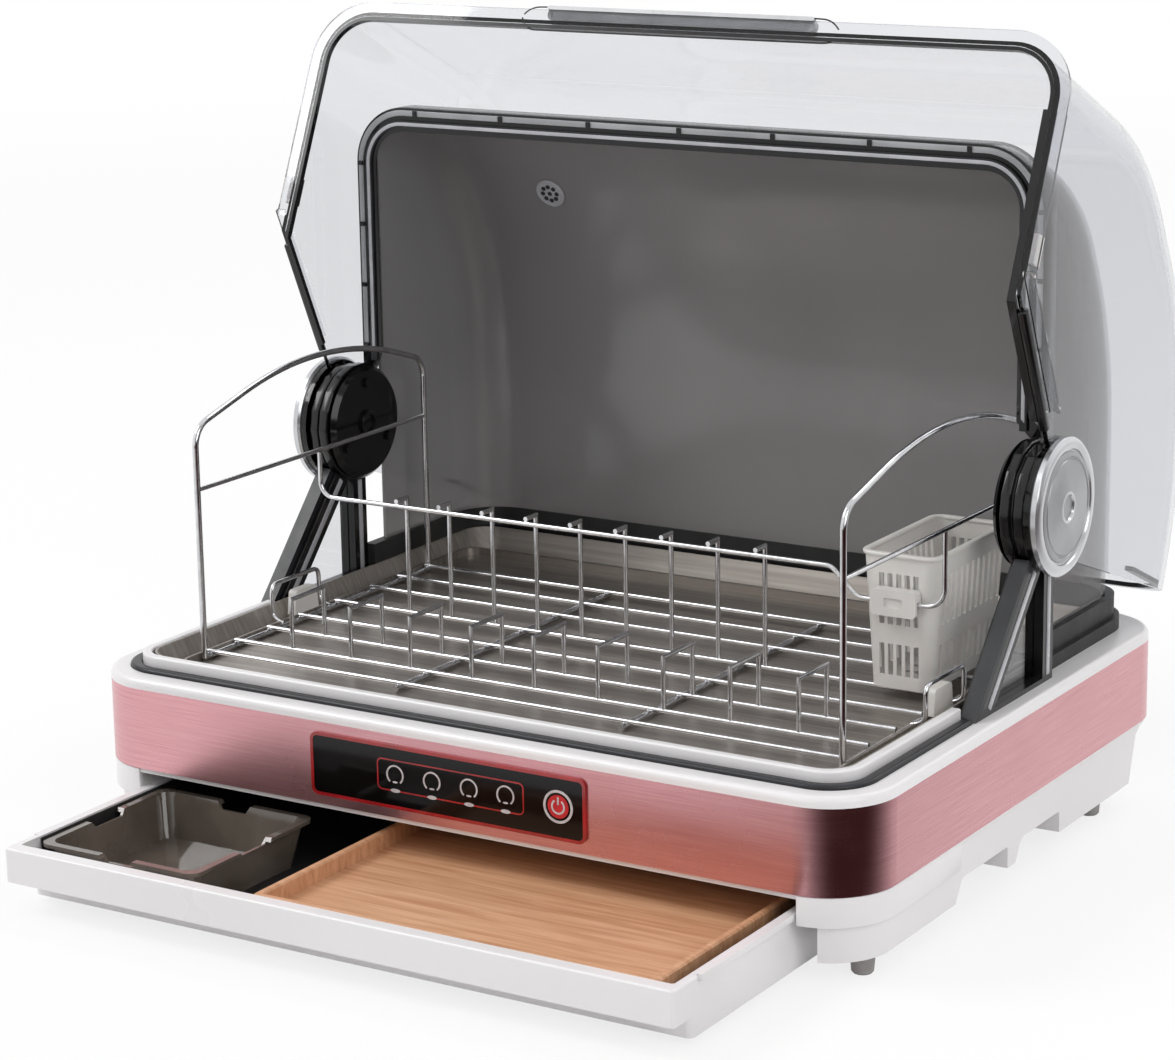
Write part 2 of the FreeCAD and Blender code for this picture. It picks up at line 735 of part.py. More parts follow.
def make_fan_housing():
    body = new_body("fan_housing")
    half = d.fan_radius + 18
    pad(body, "XY_Plane", fan_low, fan_high, rectangle(
        d.fan_x - half, d.fan_x + half, d.fan_y - half + 10, d.fan_y + half, 12))
    pocket(body, "XY_Plane", fan_low + 2, fan_high - 2, disc(d.fan_x, d.fan_y, d.fan_radius + 5))
    pocket(body, "XY_Plane", fan_low, fan_low + 2, disc(d.fan_x, d.fan_y, d.fan_radius - 10))
    pocket(body, "XY_Plane", fan_low + 6, fan_high - 6, rectangle(
        d.fan_x, d.fan_x + half + 5, d.fan_y + 10, d.fan_y + d.fan_radius + 5))
    pad(body, "XY_Plane", fan_high - 14, fan_high - 2, disc(d.fan_x, d.fan_y, 8))
    pocket(body, "XY_Plane", fan_high - 14, fan_high - 3, disc(d.fan_x, d.fan_y, 3 + d.pin_gap))
    set_down(body)


def make_fan_rotor():
    body = new_body("fan_rotor")
    low, high = fan_low + 4, fan_high - 16
    radius = d.fan_radius
    pad(body, "XY_Plane", high - 3, high, disc(0, 0, radius))
    blade = pad(body, "XY_Plane", low, high - 3, polygon(
        (radius - 8, -1), (radius - 1, 3.5), (radius - 1.8, 5), (radius - 8.8, 0.5)))
    spin(body, [blade], "Z_Axis", 24)
    pad(body, "XY_Plane", low, low + 2, disc(0, 0, radius), disc(0, 0, radius - 8))
    pad(body, "XY_Plane", high, fan_high - 4, disc(0, 0, 3))
    bind(body, "Placement.Base.x", d.fan_x)
    bind(body, "Placement.Base.y", d.case_y + d.fan_y)


def make_ptc_heater():
    body = new_body("ptc_heater")
    x = d.fan_x + d.fan_radius + 20
    pad(body, "XY_Plane", fan_low, fan_high - 8, rectangle(x, x + 30, d.fan_y - 20, d.fan_y + 60, 2))
    pocket(body, "XY_Plane", fan_low + 5, fan_high - 13, rectangle(x + 3, x + 27, d.fan_y - 16, d.fan_y + 56))
    fin = pad(body, "XY_Plane", fan_low + 5, fan_high - 13, rectangle(x + 3, x + 27, d.fan_y - 12, d.fan_y - 10.8))
    repeat(body, [fin], "Y_Axis", 60, 13)
    set_down(body)


def make_inlet_socket():
    body = new_body("inlet_socket")
    back = case_back
    pad(body, "XZ_Plane", back, back + 2.5, rectangle(socket_x - 18, socket_x + 18, 62, 91, 4))
    pad(body, "XZ_Plane", back - 20, back, rectangle(socket_x - 13.7, socket_x + 13.7, 66.3, 86.7, 1.7))
    pocket(body, "XZ_Plane", back - 16, back + 2.5, rectangle(socket_x - 11.5, socket_x + 11.5, 68.5, 84.5, 3))
    for x, z in ((-6, 75), (6, 75), (0, 80)):
        pad(body, "XZ_Plane", back - 16, back - 2, rectangle(socket_x + x - 0.9, socket_x + x + 0.9, z - 2, z + 2))
    set_down(body)


def make_rear_grille():
    body = new_body("rear_grille")
    back = case_back
    pad(body, "XZ_Plane", back, back + 2, rectangle(grille_x - 61, grille_x + 61, 59, 96, 4))
    pad(body, "XZ_Plane", back - 6, back, rectangle(grille_x - 57.7, grille_x + 57.7, 62.3, 92.7, 2.7))
    slot = pocket(body, "XZ_Plane", back - 6, back + 2, rectangle(grille_x - 54, grille_x - 50.5, 65, 90))
    repeat(body, [slot], "X_Axis", 104.5, 16)
    set_down(body)


# The fixed rear cover, its arch and the hubs

def make_cover_skirt():
    body = new_body("cover_skirt")
    step = lip_high + 8.5
    pad(body, "XY_Plane", lip_high, step, rear_u(d.skirt_x, d.skirt_back, 34, 7.8, seam_y + 1))
    pad(body, "XY_Plane", step, d.cover_low, rear_u(d.skirt_x - 3.5, d.skirt_back - 3.5, 30, 7.5, seam_y + 1))
    set_down(body)


arch_back = d.arch_y + d.arch_deep
cover_top = d.arch_top - 1
crown_low = (arch_back + 67, cover_top - 26)
crown_back = (d.cover_rear, cover_top - 128)
vent_share = 0.4
vent_y = crown_low[0] + (crown_back[0] - crown_low[0]) * vent_share
vent_z = crown_low[1] + (crown_back[1] - crown_low[1]) * vent_share
vent_slope = arctangent(crown_low[1] - crown_back[1], crown_back[0] - crown_low[0])
vent_x = as_size(-160)


def tilt_to_crown(thing, sink):
    """Stand a piece on the crown of the rear cover, sunk under its outer face."""
    thing.Placement = Placement(Vector(0, 0, 0), Rotation(Vector(1, 0, 0), -vent_slope.number))
    bind(thing, "Placement.Rotation.Angle", -vent_slope)
    sink = as_size(sink)
    set_down(thing, vent_x, vent_y - sine(vent_slope) * sink, vent_z - cosine(vent_slope) * sink)


def hub_cut(body):
    """Clear the hub's drum."""
    cut_across(body, disc(d.hub_y, d.hub_z, d.hub_radius + 0.3))


def make_rear_cover():
    body = new_body("cover_shell")
    parts.remove(body)
    pad(body, "YZ_Plane", -d.cover_half, d.cover_half, polygon(
        (arch_back, cover_top), crown_low + (110,), crown_back + (250,),
        (d.cover_rear, d.cover_low), (arch_back, d.cover_low)))
    shoulder = d.arch_radius - 1
    lowest, front = d.cover_low.number + 1, arch_back.number + 0.5

    def on_side(edge):
        box = edge.BoundBox
        flat = box.XLength < 1e-3
        return flat and box.ZMax > lowest and box.YMax > front
    round_edges(body, shoulder, on_side)
    front_face, low_face = on_plane("y", arch_back), on_plane("z", d.cover_low)
    hollow(body, d.cover_thick, lambda face: front_face(face) or low_face(face))
    hub_cut(body)
    set_down(body)
    drill = doc.addObject("Part::Cylinder", "vent_hole")
    bind(drill, "Radius", vent_radius)
    bind(drill, "Height", 12)
    tilt_to_crown(drill, 8)
    cover = doc.addObject("Part::Cut", "rear_cover")
    cover.Label = "rear_cover"
    cover.Base = body
    cover.Tool = drill
    parts.append(cover)
    doc.recompute()


vent_radius = as_size(7)


def make_vent_insert():
    body = new_body("vent_insert")
    pad(body, "XY_Plane", 0, 3.5, disc(0, 0, vent_radius - 0.1))
    pad(body, "XY_Plane", 3.5, 5, disc(0, 0, vent_radius + 1.5))
    hole = pocket(body, "XY_Plane", 0, 5, disc(4.4, 0, 0.9))
    spin(body, [hole], "Z_Axis", 8)
    pocket(body, "XY_Plane", 0, 5, disc(0, 0, 0.9))
    tilt_to_crown(body, 3.5)


def arch_shape(inset, wide, low):
    """The arch seen from the front, drawn in by an inset."""
    corners = []
    for step, order in ((as_size(inset), 1), (inset + as_size(wide), -1)):
        x, z, r = d.arch_half - step, d.arch_top - step, d.arch_radius - step
        path = [(-x, low), (-x, z, r), (x, z, r), (x, low)]
        corners += path[::order]
    return polygon(*corners)


def make_arch_frame():
    body = new_body("arch_frame")
    pad(body, "XZ_Plane", d.arch_y, arch_back, arch_shape(0, d.arch_face, d.hub_z + 20))
    for inset in (1.5, 8.5):
        pocket(body, "XZ_Plane", d.arch_y, d.arch_y + 2, arch_shape(inset, 4, d.hub_z + 20))
    hub_cut(body)
    set_down(body)


def make_arch_seal():
    body = new_body("arch_seal")
    low = d.hub_z + d.hub_radius + 2
    pad(body, "XZ_Plane", d.arch_y, d.arch_y + 2, arch_shape(8.8, 3.4, low))
    pad(body, "XZ_Plane", d.arch_y - 2, d.arch_y, arch_shape(8.2, 4.6, low))
    set_down(body)


def make_frame_studs():
    body = new_body("frame_studs", compound=True)
    low, high = d.hub_z + d.hub_radius + 12, d.arch_top - d.arch_radius
    count = 4
    x = d.arch_half - 3.5
    for i in range(count):
        z = low + (high - low) * (i / (count - 1))
        for side in (-1, 1):
            pad(body, "XZ_Plane", d.arch_y - 1.5, d.arch_y + 2, rectangle(
                x * side - 1.8, x * side + 1.8, z - 1.4, z + 1.4))
    for i in range(7):
        u = (d.arch_half - d.arch_radius - 10) * ((i - 3) / 3)
        pad(body, "XZ_Plane", d.arch_y - 1.5, d.arch_y + 2, rectangle(
            u - 1.4, u + 1.4, d.arch_top - 5.3, d.arch_top - 1.7))
    set_down(body)


def brace_window():
    return polygon(leg_foot(brace_in, brace_foot), leg_at(brace_in, brace_post), (brace_post, brace_foot))


def side_slab(body, side, near, far, *shapes):
    """Add shapes seen from the side between two distances from the middle."""
    if side > 0:
        return pad(body, "YZ_Plane", near, far, *shapes)
    return pad(body, "YZ_Plane", -far, -near, *shapes)


def side_cut(body, side, near, far, *shapes):
    if side > 0:
        return pocket(body, "YZ_Plane", near, far, *shapes)
    return pocket(body, "YZ_Plane", -far, -near, *shapes)


def make_brace(side):
    body = new_body("brace_right" if side > 0 else "brace_left")
    near, far = d.brace_x, d.brace_x + d.brace_wide
    side_slab(body, side, near, far, polygon(
        leg_foot(brace_face, lip_high), leg_at(brace_face, brace_back), (brace_back, lip_high)))
    side_cut(body, side, near, far, brace_window())
    hub_cut(body)
    set_down(body)


def make_side_panes():
    body = new_body("side_panes", compound=True)
    near = d.brace_x + 5
    for side in (-1, 1):
        side_slab(body, side, near, near + 2, brace_window())
    hub_cut(body)
    set_down(body)


def make_leg_seal(side):
    body = new_body("leg_seal_right" if side > 0 else "leg_seal_left")
    top = 124
    side_slab(body, side, d.brace_x + 3, d.brace_x + d.brace_wide, polygon(
        leg_foot(brace_face, lip_high), leg_foot(brace_face + 4, lip_high), leg(top, brace_face + 4),
        leg(top, brace_face)))
    hub_cut(body)
    set_down(body)


# The hub pieces are drawn round the lid's axis

hub_inner = as_size(241)
drum_outer = d.brace_x + d.brace_wide
lid_outer = d.lid_inner + d.lid_thick
cap_in = lid_outer + 1.5
cap_out = lid_outer + 8.5


def hub_turn(body, side, *corners):
    turn(body, polygon(*[(as_size(corner[0]) * side,) + tuple(corner[1:]) for corner in corners]))


def at_hub(thing):
    set_down(thing, 0, d.hub_y, d.hub_z)


def make_hub_drum(side):
    body = new_body("hub_drum_right" if side > 0 else "hub_drum_left")
    r, bore = d.hub_radius, d.pin_radius
    groove = hub_inner + 10
    hub_turn(body, side, (hub_inner, bore), (hub_inner, r - 1.5), (hub_inner + 1.5, r), (groove, r),
             (groove, r - 3), (groove + 1.5, r - 3), (groove + 1.5, r - 1), (drum_outer - 1, r - 1),
             (drum_outer, r - 2), (drum_outer, bore))
    at_hub(body)


def make_hub_plates():
    body = new_body("hub_plates", compound=True)
    for side in (-1, 1):
        hub_turn(body, side, (hub_inner - 3, 0), (hub_inner - 3, d.hub_radius - 4), (hub_inner, d.hub_radius - 1),
                 (hub_inner, 0))
    for angle in hub_screw_angles:
        angle = as_size(angle)
        pocket(body, "YZ_Plane", -hub_inner - 1, hub_inner + 1, disc(cosine(angle) * 27, sine(angle) * 27, 1.6))
    at_hub(body)


hub_screw_angles = (90, 210, 330)


def make_hub_screws():
    body = new_body("hub_screws", compound=True)
    for side in (-1, 1):
        for angle in hub_screw_angles:
            angle = as_size(angle)
            spot = (cosine(angle) * 27, sine(angle) * 27)
            side_slab(body, side, hub_inner - 3, hub_inner, disc(*spot, 1.5))
            side_slab(body, side, hub_inner - 5, hub_inner - 3, disc(*spot, 3.2))
    at_hub(body)


def make_hub_pins():
    body = new_body("hub_pins", compound=True)
    for side in (-1, 1):
        hub_turn(body, side, (hub_inner, 0), (hub_inner, d.pin_radius), (cap_out - 4, d.pin_radius),
                 (cap_out - 3, d.pin_radius - 1), (cap_out - 3, 0))
    at_hub(body)


# The lid is drawn shut, round its axis

def shut(*corners):
    """Corners seen from the side, taken from the case to the lid's axis."""
    return polygon(*[(corner[0] - d.hub_y, corner[1] - d.hub_z) + tuple(corner[2:]) for corner in corners])


lid_bore = d.pin_radius + d.pin_gap
lid_edge = -(d.leg_gap - 3.5)


def make_lid_shell():
    body = new_body("lid_shell")
    front, top, rear, low = -d.lid_front, d.lid_top, d.lid_rear, d.lid_low
    pad(body, "YZ_Plane", -lid_outer, lid_outer, shut(
        (front, low), (front + 4, top - 160, 150), (front + 92, top - 46, 220), (rear - 53, top - 1, 275),
        (rear, top), (rear + 23, low)))
    floor, back = (low - d.hub_z).number, (rear - d.hub_y).number

    def on_side(edge):
        box = edge.BoundBox
        return box.XLength < 1e-3 and box.ZMax > floor + 1 and box.YMin < back - 0.5
    round_edges(body, d.lid_corner, on_side)
    low_face = on_plane("z", low - d.hub_z)

    def open_face(face):
        box = face.BoundBox
        at_rear = box.YMin > back - 1e-3 and box.ZLength > 100
        return low_face(face) or at_rear
    hollow(body, d.lid_thick, open_face)
    cut_across(body, shut(leg(-60, lid_edge), leg(200, lid_edge), (rear + 80, d.hub_z), (rear + 80, low - 60)))
    for side in (-1, 1):
        side_slab(body, side, d.lid_inner, lid_outer, disc(0, 0, d.hub_radius + 1))
    cut_across(body, disc(0, 0, lid_bore))
    near, far = lid_outer - 0.5, lid_outer + d.flange_wide
    top_leg = 139.5 - d.hub_radius - 6
    for side in (-1, 1):
        side_slab(body, side, near, far, shut(
            leg(-3, 0), leg(-3, d.flange_thick), leg(top_leg, d.flange_thick), leg(top_leg, 0)))
    x, y = lid_outer + d.flange_wide, d.lid_front + d.flange_wide
    r = d.lid_corner + d.flange_wide
    flange_back = -d.lid_bend - d.hub_y
    inner, inner_y, inner_r = lid_outer - 0.5, d.lid_front - 0.5, d.lid_corner - 0.5
    pad(body, "XY_Plane", low - d.hub_z, low - d.hub_z + d.flange_thick, polygon(
        (-x, flange_back), (-x, -y - d.hub_y, r), (x, -y - d.hub_y, r), (x, flange_back),
        (inner, flange_back), (inner, -inner_y - d.hub_y, inner_r), (-inner, -inner_y - d.hub_y, inner_r),
        (-inner, flange_back)))
    swing(body)


def gasket_u(face, wide, back):
    """A strip along the inner face of the lid's front and sides, seen from above."""
    corners = []
    for inset, order in ((as_size(face), 1), (face + as_size(wide), -1)):
        x, y, r = d.lid_inner - inset, -d.lid_front + d.lid_thick + inset - d.hub_y, d.lid_corner - d.lid_thick - inset
        path = [(-x, back), (-x, y, r), (x, y, r), (x, back)]
        corners += path[::order]
    return polygon(*corners)


def make_lid_gasket():
    body = new_body("lid_gasket")
    low = d.lid_low - d.hub_z + 0.4
    bend_y = leg(0, 0)[0] - d.hub_y
    pad(body, "XY_Plane", low, low + 4, gasket_u(0.3, 2.4, bend_y + 13))
    pad(body, "XY_Plane", low, low + 6, rectangle(
        d.lid_inner - 5.3, d.lid_inner - 0.3, -d.lid_front - d.hub_y + d.lid_corner + 6, bend_y + 10))
    top = 139.5 - d.hub_radius - 6
    start = -d.leg_gap + 0.6
    for side, wide, deep in ((-1, 2.4, 3), (1, 5, 8)):
        side_slab(body, side, d.lid_inner - 0.3 - wide, d.lid_inner - 0.3, shut(
            leg_foot(start, d.lid_low + 0.4), leg_foot(start + deep, d.lid_low + 0.4), leg(top, start + deep),
            leg(top, start)))
    swing(body)


def make_lid_handle():
    body = new_body("lid_handle")
    low = d.lid_low - d.hub_z
    front = -d.lid_front - d.hub_y
    half = 95
    pad(body, "XY_Plane", low + d.flange_thick, low + 8, rectangle(-half, half, front - 9, front, 4))
    pad(body, "XY_Plane", low - 0.5, low + d.flange_thick, rectangle(
        -half, half, front - 9, front - d.flange_wide, 1.2))
    pocket(body, "XY_Plane", low + 5, low + 8, rectangle(-half + 8, half - 8, front - 6.5, front - 2, 2))
    swing(body)


def make_lid_edge_trim():
    body = new_body("lid_edge_trim")
    top, rear = d.lid_top - d.hub_z - 0.5, d.lid_rear - d.hub_y
    inner = top - 5.5
    x = d.lid_inner - 0.2
    corner = d.lid_corner - d.lid_thick
    pad(body, "XZ_Plane", rear - 3, rear - 0.2, polygon(
        (-x, 140), (-x, top - d.lid_thick, corner), (x, top - d.lid_thick, corner), (x, 140),
        (x - 5.5, 140), (x - 5.5, inner - d.lid_thick + 2.8, corner - 4),
        (-x + 5.5, inner - d.lid_thick + 2.8, corner - 4), (-x + 5.5, 140)))
    swing(body)


def make_lid_boss(side):
    body = new_body("lid_boss_right" if side > 0 else "lid_boss_left")
    r = d.hub_radius + 1
    hub_turn(body, side, (lid_outer, lid_bore), (lid_outer, r), (cap_in, r), (cap_in, lid_bore))
    swing(body)


def make_hub_cap(side):
    body = new_body("hub_cap_right" if side > 0 else "hub_cap_left")
    r = d.hub_radius + 3
    hub_turn(body, side, (cap_in, lid_bore), (cap_in, r), (cap_out - 3, r), (cap_out - 1, r - 2), (cap_out - 1, r - 7),
             (cap_out - 2.2, r - 8), (cap_out - 2.2, r - 12), (cap_out, r - 13.5), (cap_out, 11),
             (cap_out - 1, 10), (cap_out - 1, 0), (cap_out - 2.9, 0), (cap_out - 2.9, lid_bore))
    swing(body)


def make_lid_clips():
    body = new_body("lid_clips", compound=True)
    bend_y = leg(0, 0)[0]
    for side in (-1, 1):
        side_slab(body, side, lid_outer, lid_outer + 3, shut(
            (bend_y - 27, d.lid_low + 3), (bend_y - 9, d.lid_low + 3), (bend_y - 9, d.lid_low + 11),
            (bend_y - 27, d.lid_low + 11)))
    swing(body)


# The drawer is drawn shut

shut_front = -case_back + 2
box_front = shut_front + d.lip_deep
box_back = box_front + d.drawer_depth
lip_in = shut_front + d.lip_face
drawer_in = d.drawer_half - d.drawer_wall
drawer_floor = d.drawer_low + d.drawer_wall


def make_drawer_box():
    body = new_body("drawer_box")
    half, wall = d.drawer_half, d.drawer_wall
    pad(body, "XY_Plane", d.drawer_low, d.drawer_high, rectangle(-half, half, box_front, box_back, 4))
    pad(body, "XY_Plane", d.lip_low, d.drawer_high, rectangle(-half - 2, half + 2, shut_front, box_front + 5, 2))
    pad(body, "XY_Plane", d.drawer_high - 3.6, d.drawer_high, rectangle(
        -half - 3, half + 3, box_front + 6, box_back))
    pocket(body, "XY_Plane", drawer_floor, d.drawer_high, rectangle(
        -drawer_in, drawer_in, box_front + wall, box_back - wall, 3))
    pocket(body, "XY_Plane", d.lip_low + 3, d.drawer_high, rectangle(
        -drawer_in, drawer_in, lip_in, box_front + wall + 5, 2))
    pocket(body, "XY_Plane", d.lip_low, d.drawer_high - 3, rectangle(
        -drawer_in, drawer_in, shut_front + 3, lip_in - 3))

    def lip_edge(edge):
        box = edge.BoundBox
        return box.YMax < shut_front.number + 3.1 and box.ZMin > d.drawer_high.number - 1e-3
    round_edges(body, 1.5, lip_edge)
    pull_out(body)


def make_drawer_liner():
    body = new_body("drawer_liner")
    x, gap = drawer_in - 0.2, 0.2
    front, back = box_front + d.drawer_wall + gap, box_back - d.drawer_wall - gap
    high = d.drawer_high - 1
    pad(body, "XY_Plane", drawer_floor, high, rectangle(-x, x, front, back, 2.8))
    pocket(body, "XY_Plane", drawer_floor + 1, high, rectangle(-x + 1, x - 1, front + 1, back - 1, 2))
    pocket(body, "XY_Plane", d.lip_low + 3, high, rectangle(-x + 1, x - 1, front, front + 4))
    for left, right in (tray_ribs):
        pad(body, "XY_Plane", drawer_floor + 1, wood_low, rectangle(left, right, front + 12, front + 240))
    pull_out(body)


wood_low = d.lip_low + 3.2
wood_high = d.drawer_high - 2
wood_left, wood_right = as_size(-56), as_size(210)
wood_front, wood_back = lip_in + 4, lip_in + 275
tray_ribs = ((-40, -36), (75, 79), (190, 194))


def make_wood_tray():
    body = new_body("wood_tray")
    pad(body, "XY_Plane", wood_low, wood_high, rectangle(wood_left, wood_right, wood_front, wood_back, 3))
    pocket(body, "XY_Plane", wood_high - 10, wood_high, rectangle(
        wood_left + 5, wood_right - 5, wood_front + 5, wood_back - 5, 2))
    round_edges(body, 1, on_plane("z", wood_high), "Chamfer")
    pull_out(body)


box_wide, box_deep, box_high = as_size(116.5), as_size(118), as_size(29)


def make_storage_box():
    body = new_body("storage_box")

    def level(inset):
        inset = as_size(inset)
        return rectangle(inset, box_wide - inset, inset - box_deep, -inset, 8)
    loft(body, "AdditiveLoft", 0, box_high, level(9), level(3))
    pad(body, "XY_Plane", box_high - 2.2, box_high, level(0))
    loft(body, "SubtractiveLoft", 2, box_high, level(11), level(4.8))
    middle_x, middle_y = box_wide / 2, -box_deep / 2
    pocket(body, "XZ_Plane", -box_deep - 1, 1, polygon(
        (middle_x - 13, box_high + 1), (middle_x - 9, box_high - 5, 2), (middle_x + 9, box_high - 5, 2),
        (middle_x + 13, box_high + 1)))
    pocket(body, "YZ_Plane", -1, box_wide + 1, polygon(
        (middle_y - 16, box_high + 1), (middle_y - 12, box_high - 4, 2), (middle_y + 12, box_high - 4, 2),
        (middle_y + 16, box_high + 1)))
    set_down(body, -219.5, lip_in - d.drawer_pull + 130, drawer_floor + 1.05)


# The rack

rack_floor = tray_floor + d.wire / 2
rack_y0, rack_y1 = -d.rack_front, d.rack_back
arch_peak = as_size(-15)


def make_rack_end(side):
    body = new_body("rack_end_right" if side > 0 else "rack_end_left")
    x = d.rack_half * side
    pipe(body, "YZ_Plane", x, [
        (rack_y0, rack_floor), (rack_y0, d.rail_high + 39, 16), (arch_peak, d.rail_high + 75, 300),
        (rack_y1, d.rail_high + 39, 16), (rack_y1, rack_floor)], d.wire / 2)
    pipe(body, "YZ_Plane", x, [(rack_y0, rack_floor), (rack_y1, rack_floor)], d.wire / 2)
    pipe(body, "YZ_Plane", x, [(rack_y0, d.rail_high), (rack_y1, d.rail_high)], d.thin_wire / 2)
    set_down(body)


cross_wires = rack_floor + (d.wire + d.thin_wire) / 2
cross_top = cross_wires + d.thin_wire / 2
floor_lines = (-146, -118, -84, -50, -10, 30, 62, 94)


def make_rack_floor_wires():
    body = new_body("rack_floor_wires", compound=True)
    for y in floor_lines:
        pipe(body, "XZ_Plane", y, [(-d.rack_half, cross_wires), (d.rack_half, cross_wires)], d.thin_wire / 2)
    for x in (-80, 80):
        pipe(body, "YZ_Plane", x, [(rack_y0, rack_floor + 0.4), (rack_y1, rack_floor + 0.4)], d.wire / 2)
    set_down(body)


bar_y, bar_z = as_size(-22), as_size(184)
rail_low = d.rail_high - d.thin_wire / 2


def make_rack_bar():
    body = new_body("rack_bar")
    x = d.rack_half
    pipe(body, "XZ_Plane", bar_y, [
        (-x, rail_low), (-x, bar_z, 10), (150, bar_z, 8), (168, bar_z - 17, 8), (x, bar_z - 17, 12),
        (x, rail_low)], d.thin_wire / 2)
    set_down(body)


def make_plate_dividers():
    body = new_body("plate_dividers", compound=True)
    post = bar_y + 12
    for i in range(9):
        x = d.divider_pitch * (i - 5.5) + 16
        pipe(body, "YZ_Plane", x, [
            (post, cross_top), (post, bar_z + d.thin_wire), (bar_y, bar_z + d.thin_wire)],
            d.thin_wire / 2, sharp=True)
    set_down(body)


def make_bowl_dividers():
    body = new_body("bowl_dividers", compound=True)
    for i in range(9):
        x = d.bowl_pitch * (i - 4)
        pipe(body, "YZ_Plane", x, [
            (-118, cross_top), (-118, rack_floor + 36), (-84, rack_floor + 36), (-84, cross_top)],
            d.thin_wire / 2, sharp=True)
    set_down(body)


basket_top = as_size(195)
basket_low = cross_top + 0.1
basket_x0, basket_x1 = as_size(168), as_size(218)
basket_y0, basket_y1 = bar_y + d.thin_wire / 2 + 2, bar_y + 104


def make_utensil_basket():
    body = new_body("utensil_basket")

    def level(inset):
        inset = as_size(inset)
        return rectangle(basket_x0 + inset, basket_x1 - inset, basket_y0 + inset * 0.4, basket_y1 - inset, 8)
    loft(body, "AdditiveLoft", basket_low, basket_top, level(5), level(0))
    loft(body, "SubtractiveLoft", basket_low + 3, basket_top, level(7), level(2))
    mid = (basket_low + basket_top) / 2 - 10
    front = pocket(body, "XZ_Plane", basket_y0 - 5, basket_y1 + 5, rectangle(
        basket_x0 + 12, basket_x0 + 15.5, mid + 8, basket_top - 12))
    low_front = pocket(body, "XZ_Plane", basket_y0 - 5, basket_y1 + 5, rectangle(
        basket_x0 + 12, basket_x0 + 15.5, basket_low + 8, mid - 4))
    repeat(body, [front, low_front], "X_Axis", 22.5, 5)
    side = pocket(body, "YZ_Plane", basket_x0 - 5, basket_x1 + 5, rectangle(
        basket_y0 + 12, basket_y0 + 15.5, mid + 8, basket_top - 12))
    low_side = pocket(body, "YZ_Plane", basket_x0 - 5, basket_x1 + 5, rectangle(
        basket_y0 + 12, basket_y0 + 15.5, basket_low + 8, mid - 4))
    repeat(body, [side, low_side], "Y_Axis", 75.6, 11)
    floor_slot = pocket(body, "XY_Plane", basket_low, basket_low + 3, rectangle(
        basket_x0 + 14, basket_x1 - 14, basket_y0 + 14, basket_y0 + 18))
    repeat(body, [floor_slot], "Y_Axis", 66, 6)
    set_down(body)


def make_basket_clip():
    body = new_body("basket_clip")
    middle = (basket_x0 + basket_x1) / 2
    face = basket_y0 - 0.1
    wire_z = bar_z - 17
    back = bar_y - d.thin_wire / 2 - 2.5
    pad(body, "XZ_Plane", back, face, rectangle(middle - 15, middle + 15, wire_z - 8, wire_z + 8, 3))
    cut = d.thin_wire / 2 + 0.2
    pocket(body, "YZ_Plane", middle - 20, middle + 20, polygon(
        (bar_y - cut, wire_z - 10), (bar_y + cut, wire_z - 10), (bar_y + cut, wire_z + cut),
        (bar_y - cut, wire_z + cut)))
    pocket(body, "XZ_Plane", back, back + 1.2, rectangle(middle - 6, middle + 6, wire_z - 3, wire_z + 3, 1))
    set_down(body)


def make_rack_clips():
    body = new_body("rack_clips", compound=True)
    x = d.rack_half + d.wire / 2 + 0.2
    for side in (-1, 1):
        side_slab(body, side, x, x + 6, polygon(
            (-52, tray_high + 0.2), (-26, tray_high + 0.2), (-28, tray_high + 16, 3), (-50, tray_high + 16, 3)))
    set_down(body)


for make in (
        make_lower_housing, make_trim_band, make_rubber_feet, make_upper_rim, make_rim_seal,
        make_inner_liner, make_drip_tray, make_base_deck, make_base_screws, make_control_bezel,
        make_control_glass, make_touch_icons, make_control_board, make_power_board,
        make_fan_housing, make_fan_rotor, make_ptc_heater, make_inlet_socket, make_rear_grille,
        make_cover_skirt, make_rear_cover, make_vent_insert, make_arch_frame, make_arch_seal,
        make_frame_studs, make_side_panes, make_hub_plates, make_hub_screws, make_hub_pins,
        make_lid_shell, make_lid_gasket, make_lid_handle, make_lid_edge_trim, make_lid_clips,
        make_drawer_box, make_drawer_liner, make_wood_tray, make_storage_box,
        make_rack_floor_wires, make_rack_bar, make_plate_dividers, make_bowl_dividers,
        make_utensil_basket, make_basket_clip, make_rack_clips):
    make()
for make in (make_drawer_runner, make_brace, make_leg_seal, make_hub_drum, make_lid_boss, make_hub_cap, make_rack_end):
    for side in (-1, 1):
        make(side)

doc.recompute()
for item in doc.Objects:
    if "Invalid" in item.State or "Error" in item.State:
        raise RuntimeError(f"{item.Label} failed: {item.State}")
for part in parts:
    if part.Shape.isNull() or not part.Shape.isValid():
        raise RuntimeError(f"{part.Label} has no valid shape")
os.makedirs("parts", exist_ok=True)
for part in parts:
    part.Shape.exportStep(f"parts/{part.Label}.step")
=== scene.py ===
import math

import bmesh
import bpy
from mathutils import Matrix, Vector


